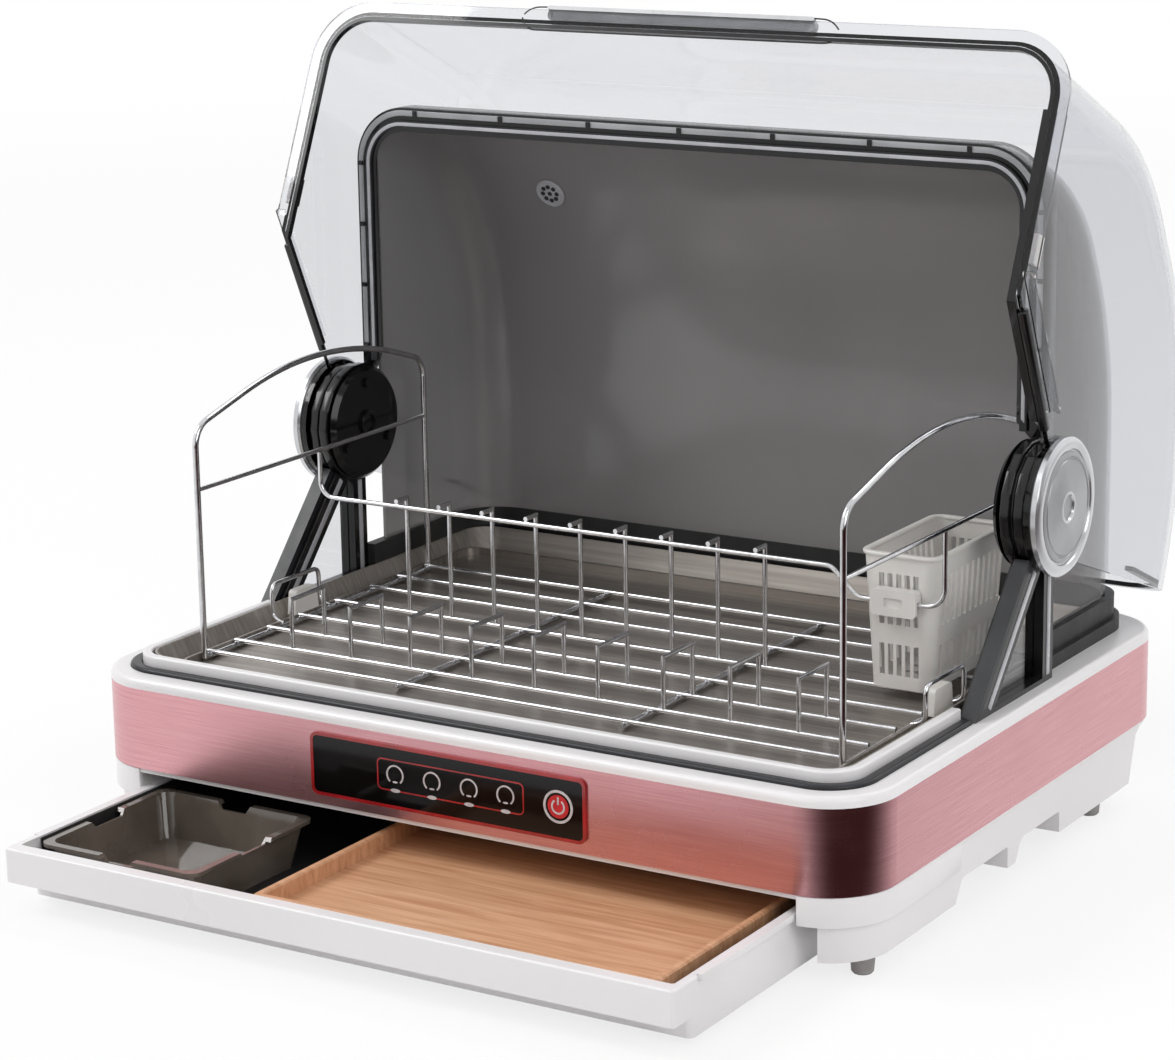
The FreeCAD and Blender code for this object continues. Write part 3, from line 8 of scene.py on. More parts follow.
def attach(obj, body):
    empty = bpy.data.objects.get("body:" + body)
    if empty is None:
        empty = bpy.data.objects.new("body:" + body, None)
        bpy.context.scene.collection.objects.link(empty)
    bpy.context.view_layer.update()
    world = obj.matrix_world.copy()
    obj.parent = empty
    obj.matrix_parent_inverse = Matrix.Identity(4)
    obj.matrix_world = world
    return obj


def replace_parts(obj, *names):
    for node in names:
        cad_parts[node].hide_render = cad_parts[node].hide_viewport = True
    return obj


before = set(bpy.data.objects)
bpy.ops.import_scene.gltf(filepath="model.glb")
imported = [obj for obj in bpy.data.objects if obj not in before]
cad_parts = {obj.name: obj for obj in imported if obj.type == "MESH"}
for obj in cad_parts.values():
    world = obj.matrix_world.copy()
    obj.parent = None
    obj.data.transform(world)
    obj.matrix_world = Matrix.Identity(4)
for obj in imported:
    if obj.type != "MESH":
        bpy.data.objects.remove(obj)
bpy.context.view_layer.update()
mm = 0.001
slack = 0.1 * mm  # for picking vertices and faces out by their place
caseY = 0.035674  # the middle of the case lies this far behind the frame's middle, in metres


def toLinear(hexCode):
    channels = [int(hexCode[i:i + 2], 16) / 255 for i in (1, 3, 5)]
    return tuple(c / 12.92 if c <= 0.04045 else ((c + 0.055) / 1.055) ** 2.4 for c in channels) + (1.0,)


def addNode(material, kind, settings=None, links=None):
    node = material.node_tree.nodes.new(kind)
    for name, value in (settings or {}).items():
        if isinstance(name, int) or name in node.inputs:
            node.inputs[name].default_value = value
        else:
            setattr(node, name, value)
    for name, socket in (links or {}).items():
        material.node_tree.links.new(socket, node.inputs[name])
    return node


# gives the material, its shader and the place on the piece that its patterns read
def startMaterial(name, settings):
    material = bpy.data.materials.new(name)
    material.use_nodes = True
    shader = material.node_tree.nodes["Principled BSDF"]
    for key, value in settings.items():
        shader.inputs[key].default_value = value
    place = addNode(material, "ShaderNodeTexCoord").outputs["Object"]
    return material, shader, place


def link(material, socket, target):
    material.node_tree.links.new(socket, target)


# colour that wanders a little between two tones; size is the pattern's own, in mm
def mottle(material, shader, place, size, low, high, detail=3.0, squeeze=(1, 1, 1), span=(0.35, 0.65)):
    spread = addNode(material, "ShaderNodeMapping", {"Scale": squeeze}, {"Vector": place})
    noise = addNode(
        material, "ShaderNodeTexNoise", {"Scale": 1 / (size * mm), "Detail": detail},
        {"Vector": spread.outputs["Vector"]})
    ramp = addNode(material, "ShaderNodeValToRGB", {}, {"Fac": noise.outputs["Fac"]})
    for stop, position, tone in zip(ramp.color_ramp.elements, span, (low, high)):
        stop.position, stop.color = position, toLinear(tone)
    link(material, ramp.outputs["Color"], shader.inputs["Base Color"])


# roughness that wanders between low and high, as handling and moulding leave it
def varySheen(material, shader, place, size, low, high):
    noise = addNode(
        material, "ShaderNodeTexNoise", {"Scale": 1 / (size * mm), "Detail": 4.0}, {"Vector": place})
    spread = addNode(
        material, "ShaderNodeMapRange", {"From Min": 0.3, "From Max": 0.7, "To Min": low, "To Max": high},
        {"Value": noise.outputs["Fac"]})
    link(material, spread.outputs["Result"], shader.inputs["Roughness"])


# relief of that size and depth in mm; squeeze above 1 makes it finer along an axis
def grain(material, shader, place, size, depth, strength=0.4, squeeze=(1, 1, 1)):
    spread = addNode(material, "ShaderNodeMapping", {"Scale": squeeze}, {"Vector": place})
    noise = addNode(
        material, "ShaderNodeTexNoise", {"Scale": 1 / (size * mm), "Detail": 2.0},
        {"Vector": spread.outputs["Vector"]})
    bump = addNode(
        material, "ShaderNodeBump", {"Strength": strength, "Distance": depth * mm},
        {"Height": noise.outputs["Fac"]})
    link(material, bump.outputs["Normal"], shader.inputs["Normal"])


# injection-moulded ABS, polished tool: white, with a soft even sheen
whiteAbs, shader, place = startMaterial(
    "whiteAbs", {"IOR": 1.53, "Coat Weight": 0.15, "Coat Roughness": 0.12})
mottle(whiteAbs, shader, place, 300, "#E8E6E7", "#EDEBEC", 1.0)
varySheen(whiteAbs, shader, place, 150, 0.27, 0.32)

# brushed and rose-tinted aluminium strip: long fine lines that run round the case
roseAluminium, shader, place = startMaterial("roseAluminium", {"Metallic": 1.0})
mottle(roseAluminium, shader, place, 12, "#CE949B", "#E2AEB2", 6.0, (0.3, 0.3, 26), (0.25, 0.75))
varySheen(roseAluminium, shader, place, 50, 0.25, 0.31)
grain(roseAluminium, shader, place, 1.6, 0.02, 0.25, (0.08, 0.08, 5))

# clear SAN lid: a faint grey body, glossy, moulded walls 3 mm thick
clearSan, shader, place = startMaterial(
    "clearSan",
    {"Base Color": toLinear("#E7E8EB"), "IOR": 1.45, "Transmission Weight": 1.0, "Roughness": 0.03})
grain(clearSan, shader, place, 50, 0.4, 0.15)

# smoked polycarbonate cover: grey body over the back, tint fading out at both ends
smokedPc, shader, place = startMaterial("smokedPc", {"IOR": 1.55, "Roughness": 0.14})
mottle(smokedPc, shader, place, 350, "#7C7A7A", "#969494", 2.0)
grain(smokedPc, shader, place, 40, 0.3, 0.12)
across = addNode(smokedPc, "ShaderNodeSeparateXYZ", {}, {"Vector": place})
rightTint = addNode(
    smokedPc, "ShaderNodeMapRange", {"From Min": 0.2, "From Max": 0.24, "To Min": 0.9, "To Max": 0.26},
    {"Value": across.outputs["X"]})
leftTint = addNode(
    smokedPc, "ShaderNodeMapRange", {"From Min": -0.236, "From Max": -0.2455, "To Min": 0.9, "To Max": 0.8},
    {"Value": across.outputs["X"]})
tint = addNode(
    smokedPc, "ShaderNodeMath", {"operation": "MINIMUM"},
    {0: rightTint.outputs["Result"], 1: leftTint.outputs["Result"]})
link(smokedPc, tint.outputs[0], shader.inputs["Alpha"])

# black gloss ABS: hub drums and braces
blackAbs, shader, place = startMaterial(
    "blackAbs", {"IOR": 1.53, "Specular IOR Level": 0.3, "Coat Weight": 0.2, "Coat Roughness": 0.05})
mottle(blackAbs, shader, place, 50, "#0A0A0B", "#121214")
varySheen(blackAbs, shader, place, 20, 0.14, 0.22)

# spark-eroded black ABS: the parts under the case and inside it
mattBlackAbs, shader, place = startMaterial("mattBlackAbs", {"IOR": 1.53})
mottle(mattBlackAbs, shader, place, 20, "#1E1E1F", "#2A2A2B")
varySheen(mattBlackAbs, shader, place, 10, 0.5, 0.62)
grain(mattBlackAbs, shader, place, 0.9, 0.08)

# silicone seal: soft dark grey, no gloss
siliconeSeal, shader, place = startMaterial("siliconeSeal", {"IOR": 1.41})
mottle(siliconeSeal, shader, place, 20, "#1D1E21", "#28292C")
varySheen(siliconeSeal, shader, place, 20, 0.3, 0.42)
grain(siliconeSeal, shader, place, 1.5, 0.05)

# grey rubber feet
mouldedRubber, shader, place = startMaterial("mouldedRubber", {"IOR": 1.5})
mottle(mouldedRubber, shader, place, 10, "#8F8B8A", "#A19D9B")
varySheen(mouldedRubber, shader, place, 10, 0.65, 0.8)
grain(mouldedRubber, shader, place, 1.2, 0.1)

# silver lacquer on the rims of the hub caps, smooth and clear-coated
silverLacquer, shader, place = startMaterial(
    "silverLacquer", {"Metallic": 0.8, "Coat Weight": 0.6, "Coat Roughness": 0.06})
mottle(silverLacquer, shader, place, 30, "#C4C5C9", "#D2D3D6", 1.0)
varySheen(silverLacquer, shader, place, 20, 0.18, 0.26)

# satin grey lacquer on their faces
greyLacquer, shader, place = startMaterial(
    "greyLacquer", {"Metallic": 0.35, "Coat Weight": 0.4, "Coat Roughness": 0.15})
mottle(greyLacquer, shader, place, 30, "#929396", "#A2A3A6", 2.0)
varySheen(greyLacquer, shader, place, 20, 0.3, 0.38)

# bright chromium plate on steel wire
chromeWire, shader, place = startMaterial("chromeWire", {"Metallic": 1.0})
mottle(chromeWire, shader, place, 10, "#C9C9CB", "#DEDEE0")
varySheen(chromeWire, shader, place, 6, 0.10, 0.2)

# stainless sheet, brushed along its length: liner and tray
brushedStainless, shader, place = startMaterial("brushedStainless", {"Metallic": 0.5})
mottle(brushedStainless, shader, place, 20, "#948D86", "#ABA49D", 4.0, (0.15, 10, 1))
varySheen(brushedStainless, shader, place, 30, 0.36, 0.46)

trayStainless, shader, place = startMaterial("trayStainless", {"Metallic": 0.65})
mottle(trayStainless, shader, place, 30, "#8B847D", "#A39C95", 4.0, (0.15, 10, 1))
varySheen(trayStainless, shader, place, 30, 0.28, 0.38)

# beech veneer, clear matt lacquer: growth lines along the tray
beech, shader, place = startMaterial("beech", {"IOR": 1.5, "Coat Weight": 0.15, "Coat Roughness": 0.3})
turnedPlace = addNode(
    beech, "ShaderNodeMapping", {"Rotation": (0, 0, 0.05), "Scale": (1.4, 26, 10)}, {"Vector": place})
waves = addNode(
    beech, "ShaderNodeTexNoise", {"Scale": 9.0, "Detail": 6.0, "Distortion": 0.6},
    {"Vector": turnedPlace.outputs["Vector"]})
woodTone = addNode(beech, "ShaderNodeValToRGB", {}, {"Fac": waves.outputs["Fac"]})
for stop, position, tone in zip(woodTone.color_ramp.elements, (0.3, 0.7), ("#C08A63", "#E0B08A")):
    stop.position, stop.color = position, toLinear(tone)
link(beech, woodTone.outputs["Color"], shader.inputs["Base Color"])
varySheen(beech, shader, place, 20, 0.45, 0.58)
grain(beech, shader, place, 4, 0.08, 0.4, (0.2, 3, 1))

# smoke-tinted styrene box
smokedStyrene, shader, place = startMaterial(
    "smokedStyrene",
    {"IOR": 1.55, "Alpha": 0.8, "Roughness": 0.08, "Coat Weight": 0.8, "Coat Roughness": 0.04})
mottle(smokedStyrene, shader, place, 50, "#61584F", "#7B7167")

# warm grey polypropylene basket
greyPp, shader, place = startMaterial(
    "greyPp", {"IOR": 1.49, "Subsurface Weight": 0.05, "Subsurface Scale": 0.002})
mottle(greyPp, shader, place, 40, "#D6D3CF", "#E0DDD9")
varySheen(greyPp, shader, place, 20, 0.32, 0.42)
grain(greyPp, shader, place, 1.5, 0.03)

# black glass over the touch keys
panelGlass, shader, place = startMaterial(
    "panelGlass", {"IOR": 1.45, "Specular IOR Level": 0.3, "Coat Weight": 0.1, "Coat Roughness": 0.03})
mottle(panelGlass, shader, place, 50, "#080607", "#0F0B0C")
varySheen(panelGlass, shader, place, 30, 0.06, 0.12)

# red translucent lacquer on the panel's edge
redLacquer, shader, place = startMaterial(
    "redLacquer", {"IOR": 1.5, "Coat Weight": 0.6, "Coat Roughness": 0.05})
mottle(redLacquer, shader, place, 20, "#8E1418", "#B01C22")
varySheen(redLacquer, shader, place, 20, 0.15, 0.25)

# screen-printed red ink, lit from behind
redInk, shader, place = startMaterial(
    "redInk", {"IOR": 1.48, "Emission Color": toLinear("#C81A22"), "Emission Strength": 0.12})
mottle(redInk, shader, place, 6, "#A8141B", "#BC1C23")
varySheen(redInk, shader, place, 4, 0.4, 0.5)

# pale grey plastic on the vent's face, also used for painted highlights: a pale line down the arch seal and
# down the brace bars
paleGreyAndHighlight, shader, place = startMaterial("paleGreyAndHighlight", {"IOR": 1.5, "Coat Weight": 0.5, "Coat Roughness": 0.08})
mottle(paleGreyAndHighlight, shader, place, 30, "#A5A5AA", "#B7B7BC")
varySheen(paleGreyAndHighlight, shader, place, 20, 0.2, 0.3)

# frosted grip moulded on the lid's edge
frostSan, shader, place = startMaterial("frostSan", {"IOR": 1.5, "Coat Weight": 0.4, "Coat Roughness": 0.08})
mottle(frostSan, shader, place, 50, "#C2C3C6", "#D6D7D9")
varySheen(frostSan, shader, place, 20, 0.2, 0.32)

# grey nylon vent
greyNylon, shader, place = startMaterial("greyNylon", {"IOR": 1.53})
mottle(greyNylon, shader, place, 10, "#A3A3A5", "#B4B4B6")
varySheen(greyNylon, shader, place, 10, 0.35, 0.45)

# screen-printed light grey ink
printedInk, shader, place = startMaterial("printedInk", {"IOR": 1.48})
mottle(printedInk, shader, place, 4, "#B9B4B6", "#D2CED0")
varySheen(printedInk, shader, place, 4, 0.5, 0.62)

# zinc-plated steel: screws, plates and pins
zincSteel, shader, place = startMaterial("zincSteel", {"Metallic": 1.0})
mottle(zincSteel, shader, place, 6, "#A9ABAE", "#BFC1C4")
varySheen(zincSteel, shader, place, 4, 0.25, 0.4)

# green solder mask on glass-fibre board
boardMask, shader, place = startMaterial("boardMask", {"IOR": 1.5, "Coat Weight": 0.3})
mottle(boardMask, shader, place, 4, "#1F5A38", "#2B6F47")
varySheen(boardMask, shader, place, 10, 0.3, 0.4)

# bare aluminium heater fins
bareAluminium, shader, place = startMaterial("bareAluminium", {"Metallic": 1.0})
mottle(bareAluminium, shader, place, 10, "#B4B5B6", "#CBCCCD")
varySheen(bareAluminium, shader, place, 10, 0.35, 0.5)

print("materials made")

finishes = {
    whiteAbs: "lower_housing upper_rim drawer_box",
    roseAluminium: "trim_band",
    clearSan: "lid_shell side_panes",
    frostSan: "lid_handle",
    smokedPc: "rear_cover",
    blackAbs:
        "hub_drum_left hub_drum_right brace_left brace_right lid_boss_left lid_boss_right arch_frame "
        "hub_plates hub_screws frame_studs lid_gasket",
    mattBlackAbs:
        "base_deck drawer_runner_left drawer_runner_right drawer_liner fan_housing fan_rotor "
        "inlet_socket rear_grille cover_skirt",
    greyNylon: "vent_insert",
    siliconeSeal: "rim_seal arch_seal leg_seal_left leg_seal_right lid_edge_trim",
    mouldedRubber: "rubber_feet",
    silverLacquer: "hub_cap_left hub_cap_right",
    chromeWire: "rack_end_left rack_end_right rack_floor_wires rack_bar plate_dividers bowl_dividers",
    brushedStainless: "inner_liner",
    trayStainless: "drip_tray",
    beech: "wood_tray",
    smokedStyrene: "storage_box",
    greyPp: "utensil_basket basket_clip rack_clips lid_clips",
    panelGlass: "control_glass",
    redLacquer: "control_bezel",
    printedInk: "touch_icons",
    zincSteel: "base_screws hub_pins",
    boardMask: "control_board power_board",
    bareAluminium: "ptc_heater",
}
for finish, names in finishes.items():
    for name in names.split():
        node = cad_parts[name]
        if not node.material_slots:
            node.data.materials.append(finish)
        for materialSlot in node.material_slots:
            materialSlot.material = finish
print("finishes given")

hub = Vector((0, 0.05 + caseY, 0.218))
bothSides = ((-1, "left"), (1, "right"))
bpy.ops.object.select_all(action="DESELECT")


# a place given in mm from the middle of the case
def spot(x, y, z):
    return Vector((x * mm, y * mm + caseY, z * mm))


# names the active piece, moves it to its place and hangs it on its body
def settle(name, finish, body, at=(0, 0, 0), turn=(0, 0, 0)):
    piece = bpy.context.object
    piece.name = piece.data.name = name
    piece.location, piece.rotation_euler = at, turn
    bpy.ops.object.transform_apply(location=True, rotation=True, scale=True)
    piece.data.materials.append(finish)
    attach(piece, body)
    return piece


def roundOff(piece, width, segments=2, angle=35):
    bevel = piece.modifiers.new("bevel", "BEVEL")
    bevel.width, bevel.segments, bevel.angle_limit = width * mm, segments, math.radians(angle)
    bpy.context.view_layer.objects.active = piece
    bpy.ops.object.modifier_apply(modifier="bevel")


def smoothBy(piece, angle=35):
    bpy.ops.object.select_all(action="DESELECT")
    piece.select_set(True)
    bpy.context.view_layer.objects.active = piece
    bpy.ops.object.shade_smooth_by_angle(angle=math.radians(angle))


# a round piece drawn out of a disc, one (radius, height) after the other
def drawOut(sides, steps):
    radius, height = steps[0]
    bpy.ops.mesh.primitive_circle_add(vertices=sides, radius=radius * mm, fill_type="NGON")
    bpy.ops.object.mode_set(mode="EDIT")
    bpy.ops.mesh.select_all(action="SELECT")
    bpy.ops.transform.translate(value=(0, 0, height * mm))
    for nextRadius, nextHeight in steps[1:]:
        bpy.ops.mesh.extrude_region_move(TRANSFORM_OT_translate={"value": (0, 0, (nextHeight - height) * mm)})
        bpy.ops.transform.resize(value=(nextRadius / radius, nextRadius / radius, 1))
        radius, height = nextRadius, nextHeight
    bpy.ops.mesh.select_all(action="SELECT")
    bpy.ops.mesh.normals_make_consistent(inside=False)
    bpy.ops.object.mode_set(mode="OBJECT")


# a flat frame with round corners that faces the front; openBelow cuts its lower side off
def drawFrame(wide, high, radius, band, deep, openBelow=False, bends=10):
    bpy.ops.mesh.primitive_plane_add(size=1, rotation=(math.pi / 2, 0, 0))
    frameMesh = bpy.context.object
    frameMesh.scale = (wide * mm, high * mm, 1)
    bpy.ops.object.transform_apply(location=True, rotation=True, scale=True)
    bpy.ops.object.mode_set(mode="EDIT")
    bpy.ops.mesh.select_all(action="DESELECT")
    edit = bmesh.from_edit_mesh(frameMesh.data)
    for vert in edit.verts:
        vert.select = vert.co.z > 0 or not openBelow
    edit.select_flush(False)
    bmesh.update_edit_mesh(frameMesh.data)
    bpy.ops.mesh.bevel(offset=radius * mm, segments=bends, affect="VERTICES")
    bpy.ops.mesh.select_all(action="SELECT")
    bpy.ops.mesh.inset(thickness=band * mm)
    bpy.ops.mesh.delete(type="FACE")
    if openBelow:
        edit = bmesh.from_edit_mesh(frameMesh.data)
        bottomMiddle = (band - high) / 2 * mm
        for face in edit.faces:
            face.select = face.calc_center_median().z < bottomMiddle + slack
        bmesh.update_edit_mesh(frameMesh.data)
        bpy.ops.mesh.delete(type="FACE")
    bpy.ops.mesh.select_all(action="SELECT")
    bpy.ops.mesh.extrude_region_move(TRANSFORM_OT_translate={"value": (0, -deep * mm, 0)})
    bpy.ops.mesh.select_all(action="SELECT")
    bpy.ops.mesh.normals_make_consistent(inside=False)
    bpy.ops.object.mode_set(mode="OBJECT")


# a bar from low to high, both (y, z) in mm; gives the middle and the lean that settle needs
def drawBar(wide, deep, low, high):
    (y0, z0), (y1, z1) = low, high
    bpy.ops.mesh.primitive_cube_add(size=1)
    bpy.ops.transform.resize(value=(wide * mm, deep * mm, math.hypot(y1 - y0, z1 - z0) * mm))
    return (y0 + y1) / 2, (z0 + z1) / 2, math.atan2(y0 - y1, z1 - z0)


# a wire through points in mm from the middle of the case, its bends rounded
def bendWire(name, points, thick, finish, body):
    line = bpy.data.curves.new(name, "CURVE")
    line.dimensions = "3D"
    line.bevel_depth = thick / 2 * mm
    line.bevel_resolution = 3
    line.resolution_u = 8
    line.use_fill_caps = True
    path = line.splines.new("NURBS")
    path.points.add(len(points) - 1)
    for point, place in zip(path.points, points):
        point.co = (*spot(*place), 1)
    path.order_u = 3
    path.use_endpoint_u = True
    wire = bpy.data.objects.new(name, line)
    bpy.context.collection.objects.link(wire)
    bpy.ops.object.select_all(action="DESELECT")
    wire.select_set(True)
    bpy.context.view_layer.objects.active = wire
    bpy.ops.object.convert(target="MESH")
    bpy.context.object.data.materials.clear()
    wire = settle(name, finish, body)
    smoothBy(wire, 60)
    return wire


# hub caps: pale rim, grey face with one groove, and a small pale ring in the middle
hubCap = {
    "from": 264.0, "sides": 96, "greyWithin": 33.9, "paleRing": (7.9, 9.7), "faceFrom": 267,
    "steps": [
        (40.5, 0), (42, 1.2), (42, 4.2), (40.6, 5.6), (38.6, 6.3), (35.2, 6.0), (34.4, 4.6), (33.8, 4.6),
        (33.2, 5.6), (31.6, 6.2), (30.6, 6.2), (30.0, 5.4), (29.2, 5.4), (28.6, 6.2), (9.6, 6.8), (9.0, 7.0),
        (8.0, 7.0), (7.4, 5.8), (0.5, 5.8)],
}
for side, word in bothSides:
    drawOut(hubCap["sides"], hubCap["steps"])
    cap = settle(
        f"hubCap_{word}", silverLacquer, "lid",
        at=(side * hubCap["from"] * mm, hub.y, hub.z), turn=(0, side * math.pi / 2, 0))
    cap.data.materials.append(greyLacquer)
    ringFrom, ringTo = hubCap["paleRing"]
    for face in cap.data.polygons:
        corners = [Vector((0, *cap.data.vertices[i].co[1:])) for i in face.vertices]
        out = max((corner - Vector((0, hub.y, hub.z))).length for corner in corners) / mm
        onFace = abs(face.center.x) > hubCap["faceFrom"] * mm
        grey = out < hubCap["greyWithin"] and not ringFrom < out < ringTo and onFace
        face.material_index = 1 if grey else 0
    smoothBy(cap, 30)
    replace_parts(cap, f"hub_cap_{word}")

# hub drums: two faceted black rings with a groove between them
hubDrum = {
    "from": 241.0, "facets": 18, "edge": 0.7,
    "steps": [
        (33.0, 0), (34.5, 1.0), (35.0, 2.4), (38.6, 2.4), (39.4, 3.2), (39.4, 8.4), (38.8, 9.0), (36.6, 9.0),
        (36.6, 10.6), (37.4, 10.6), (38.0, 11.2), (38.0, 16.6), (37.2, 17.4), (36.0, 18.0)],
}
for side, word in bothSides:
    drawOut(hubDrum["facets"], hubDrum["steps"])
    drum = settle(
        f"hubDrum_{word}", blackAbs, "base",
        at=(side * hubDrum["from"] * mm, hub.y, hub.z), turn=(0, side * math.pi / 2, 0))
    roundOff(drum, hubDrum["edge"], 2, 14)
    smoothBy(drum, 40)
    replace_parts(drum, f"hub_drum_{word}")

# small round recess in the middle of each drum, on the rack's side
hubScrewBoss = {
    "from": 238.2, "sides": 32,
    "steps": [(8.5, 0), (8.5, 2.2), (7.6, 2.8), (5.6, 2.8), (5.2, 1.2), (0.4, 1.2)],
}
for side, word in bothSides:
    drawOut(hubScrewBoss["sides"], hubScrewBoss["steps"])
    boss = settle(
        f"hubScrewBoss_{word}", blackAbs, "base",
        at=(side * hubScrewBoss["from"] * mm, hub.y, hub.z), turn=(0, -side * math.pi / 2, 0))
    smoothBy(boss, 30)


# one of the arch's pieces: a frame that is open below
def drawArch(part):
    drawFrame(
        2 * part["half"], part["top"] - part["low"], part["corner"], part["band"], part["deep"],
        openBelow=True, bends=14)


def settleArch(name, finish, part, edge):
    piece = settle(name, finish, "base", at=spot(0, part["rear"], (part["top"] + part["low"]) / 2))
    roundOff(piece, edge, 2, 50)
    smoothBy(piece)
    return piece


# arch bead: pale strip in the outer groove of the arch
archBead = {"half": 245.4, "top": 427.4, "low": 263, "corner": 36.4, "band": 3.8, "deep": 2.4, "rear": 61.9}
drawArch(archBead)
settleArch("archBead", greyLacquer, archBead, 0.5)

# a paler line down the middle of the arch seal: a painted highlight
sealHighlightStrip = {"half": 237.7, "top": 419.7, "low": 264, "corner": 28.7, "band": 2.4, "deep": 1.2, "rear": 58.7}
drawArch(sealHighlightStrip)
settleArch("sealHighlightStrip", paleGreyAndHighlight, sealHighlightStrip, 0.4)

# arch frame: full width in front, drawn in towards the cover behind it
archFrame = {
    "half": 247, "top": 429, "low": 248, "corner": 38, "band": 16, "deep": 16, "rear": 76, "behind": 6}
drawArch(archFrame)
bpy.ops.object.mode_set(mode="EDIT")
bpy.ops.mesh.select_all(action="DESELECT")
edit = bmesh.from_edit_mesh(bpy.context.object.data)
frameHigh = archFrame["top"] - archFrame["low"]
innerHalf, innerTop = archFrame["half"] - archFrame["band"], frameHigh / 2 - archFrame["band"]
for vert in edit.verts:
    inside = abs(vert.co.x) < innerHalf * mm + slack and vert.co.z < innerTop * mm + slack
    vert.select = vert.co.y > -slack and inside
edit.select_flush(False)
bmesh.update_edit_mesh(bpy.context.object.data)
widened = (archFrame["half"] - archFrame["behind"]) / innerHalf
raised = (frameHigh - archFrame["behind"]) / (frameHigh - archFrame["band"])
bpy.ops.transform.resize(value=(widened, 1, raised), center_override=(0, 0, -frameHigh / 2 * mm))
bpy.ops.object.mode_set(mode="OBJECT")
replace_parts(settleArch("archFrame", blackAbs, archFrame, 0.8), "arch_frame")

# black edging down both legs of the open lid, from the bend to the hub
legEdging = {
    "from": (0.2, 344.1), "to": (34.8, 267.0), "wide": 5.6, "deep": {"left": 3.2, "right": 6.4}, "out": 261.6,
}
for side, word in bothSides:
    y, z, lean = drawBar(legEdging["wide"], legEdging["deep"][word], legEdging["from"], legEdging["to"])
    edging = settle(
        f"legEdging_{word}", blackAbs, "lid", at=spot(side * legEdging["out"], y, z), turn=(lean, 0, 0))
    roundOff(edging, 1.6, 3)
    smoothBy(edging)

# dark lines along the edges of the handle's lip on the open lid: painted shade along the clear edges
handleShadeLine = {
    "thick": 1.0,
    "Low": [
        (-113, 58.3, 491.0), (-110, 56.9, 487.5), (-107, 55.3, 484.3), (-98, 55.2, 484.1),
        (98, 55.2, 484.1), (107, 55.3, 484.3), (109, 55.9, 485.5)],
    "High": [
        (-112, 59.5, 493), (-108, 60, 497.4), (-96, 60.3, 498.6),
        (96, 60.3, 498.6), (108, 60, 497.4), (112, 59.5, 492)],
}
for word in ("Low", "High"):
    line = bendWire(f"handleShadeLine{word}", handleShadeLine[word], handleShadeLine["thick"], blackAbs, "lid")
print("hubs and arch done")

# touch keys: open rings over small ovals in a red outline, and a lit power key
touchKeys = {
    "front": -215.45, "proud": 0.3, "across": (-35, -9, 16.8, 42),
    "ring": {"high": 79.0, "radius": 6.1, "band": 1.0, "gap": 38},
    "oval": {"high": 69.4, "half": (3.3, 1.15)},
    "dot": {"high": 74.6, "half": (1.76, 0.56)},
    "outline": {"middle": (3.3, 78.5), "wide": 102.4, "high": 19.6, "corner": 3.5, "band": 0.9},
    "power": {
        "middle": (77.7, 78.2), "disc": 7.0, "discProud": 0.2, "rim": 9.9, "rimBand": 1.5,
        "arc": 4.6, "arcBand": 1.1, "arcGap": 34, "bar": (1.2, 4.6), "barUp": 3.4},
}
keyPieces = []


# gives the flat mesh in hand its thickness and lays it on the panel
def layOnPanel(name, finish, x, z, proud=touchKeys["proud"]):
    bpy.ops.object.mode_set(mode="EDIT")
    bpy.ops.mesh.select_all(action="SELECT")
    bpy.ops.mesh.extrude_region_move(TRANSFORM_OT_translate={"value": (0, 0, proud * mm)})
    bpy.ops.mesh.select_all(action="SELECT")
    bpy.ops.mesh.normals_make_consistent(inside=False)
    bpy.ops.object.mode_set(mode="OBJECT")
    keyPieces.append(
        settle(name, finish, "base", at=spot(x, touchKeys["front"], z), turn=(math.pi / 2, 0, 0)))


def drawOval(sides, halfWide, halfHigh):
    bpy.ops.mesh.primitive_circle_add(vertices=sides, radius=1 * mm, fill_type="NGON")
    bpy.ops.transform.resize(value=(halfWide, halfHigh, 1))


# a flat ring with a gap of that many degrees to each side of toward, 1 up and -1 down
def drawRing(radius, band, gap=0, toward=1):
    bpy.ops.mesh.primitive_circle_add(vertices=64, radius=radius * mm, fill_type="NGON")
    bpy.ops.object.mode_set(mode="EDIT")
    bpy.ops.mesh.select_all(action="SELECT")
    bpy.ops.mesh.inset(thickness=band * mm)
    bpy.ops.mesh.delete(type="FACE")
    ring = bpy.context.object
    edit = bmesh.from_edit_mesh(ring.data)
    for face in edit.faces:
        middle = face.calc_center_median()
        face.select = abs(math.degrees(Vector((0, toward)).angle(middle.xy))) < gap
    bmesh.update_edit_mesh(ring.data)
    bpy.ops.mesh.delete(type="FACE")
    bpy.ops.object.mode_set(mode="OBJECT")


ring, oval, dot = (touchKeys[part] for part in ("ring", "oval", "dot"))
for number, x in enumerate(touchKeys["across"], 1):
    drawRing(ring["radius"], ring["band"], ring["gap"], -1)
    layOnPanel(f"keyRing_{number}", printedInk, x, ring["high"])
    drawOval(32, *oval["half"])
    layOnPanel(f"keyOval_{number}", printedInk, x, oval["high"])
    drawOval(24, *dot["half"])
    layOnPanel(f"keyDot_{number}", printedInk, x, dot["high"])
outline = touchKeys["outline"]
outlineX, outlineZ = outline["middle"]
drawFrame(outline["wide"], outline["high"], outline["corner"], outline["band"], touchKeys["proud"])
keyPieces.append(settle(
    "keyOutline", redLacquer, "base", at=spot(outlineX, touchKeys["front"] + touchKeys["proud"], outlineZ)))
power = touchKeys["power"]
powerX, powerZ = power["middle"]
drawOval(48, power["disc"], power["disc"])
layOnPanel("powerDisc", redInk, powerX, powerZ, power["discProud"])
drawRing(power["rim"], power["rimBand"])
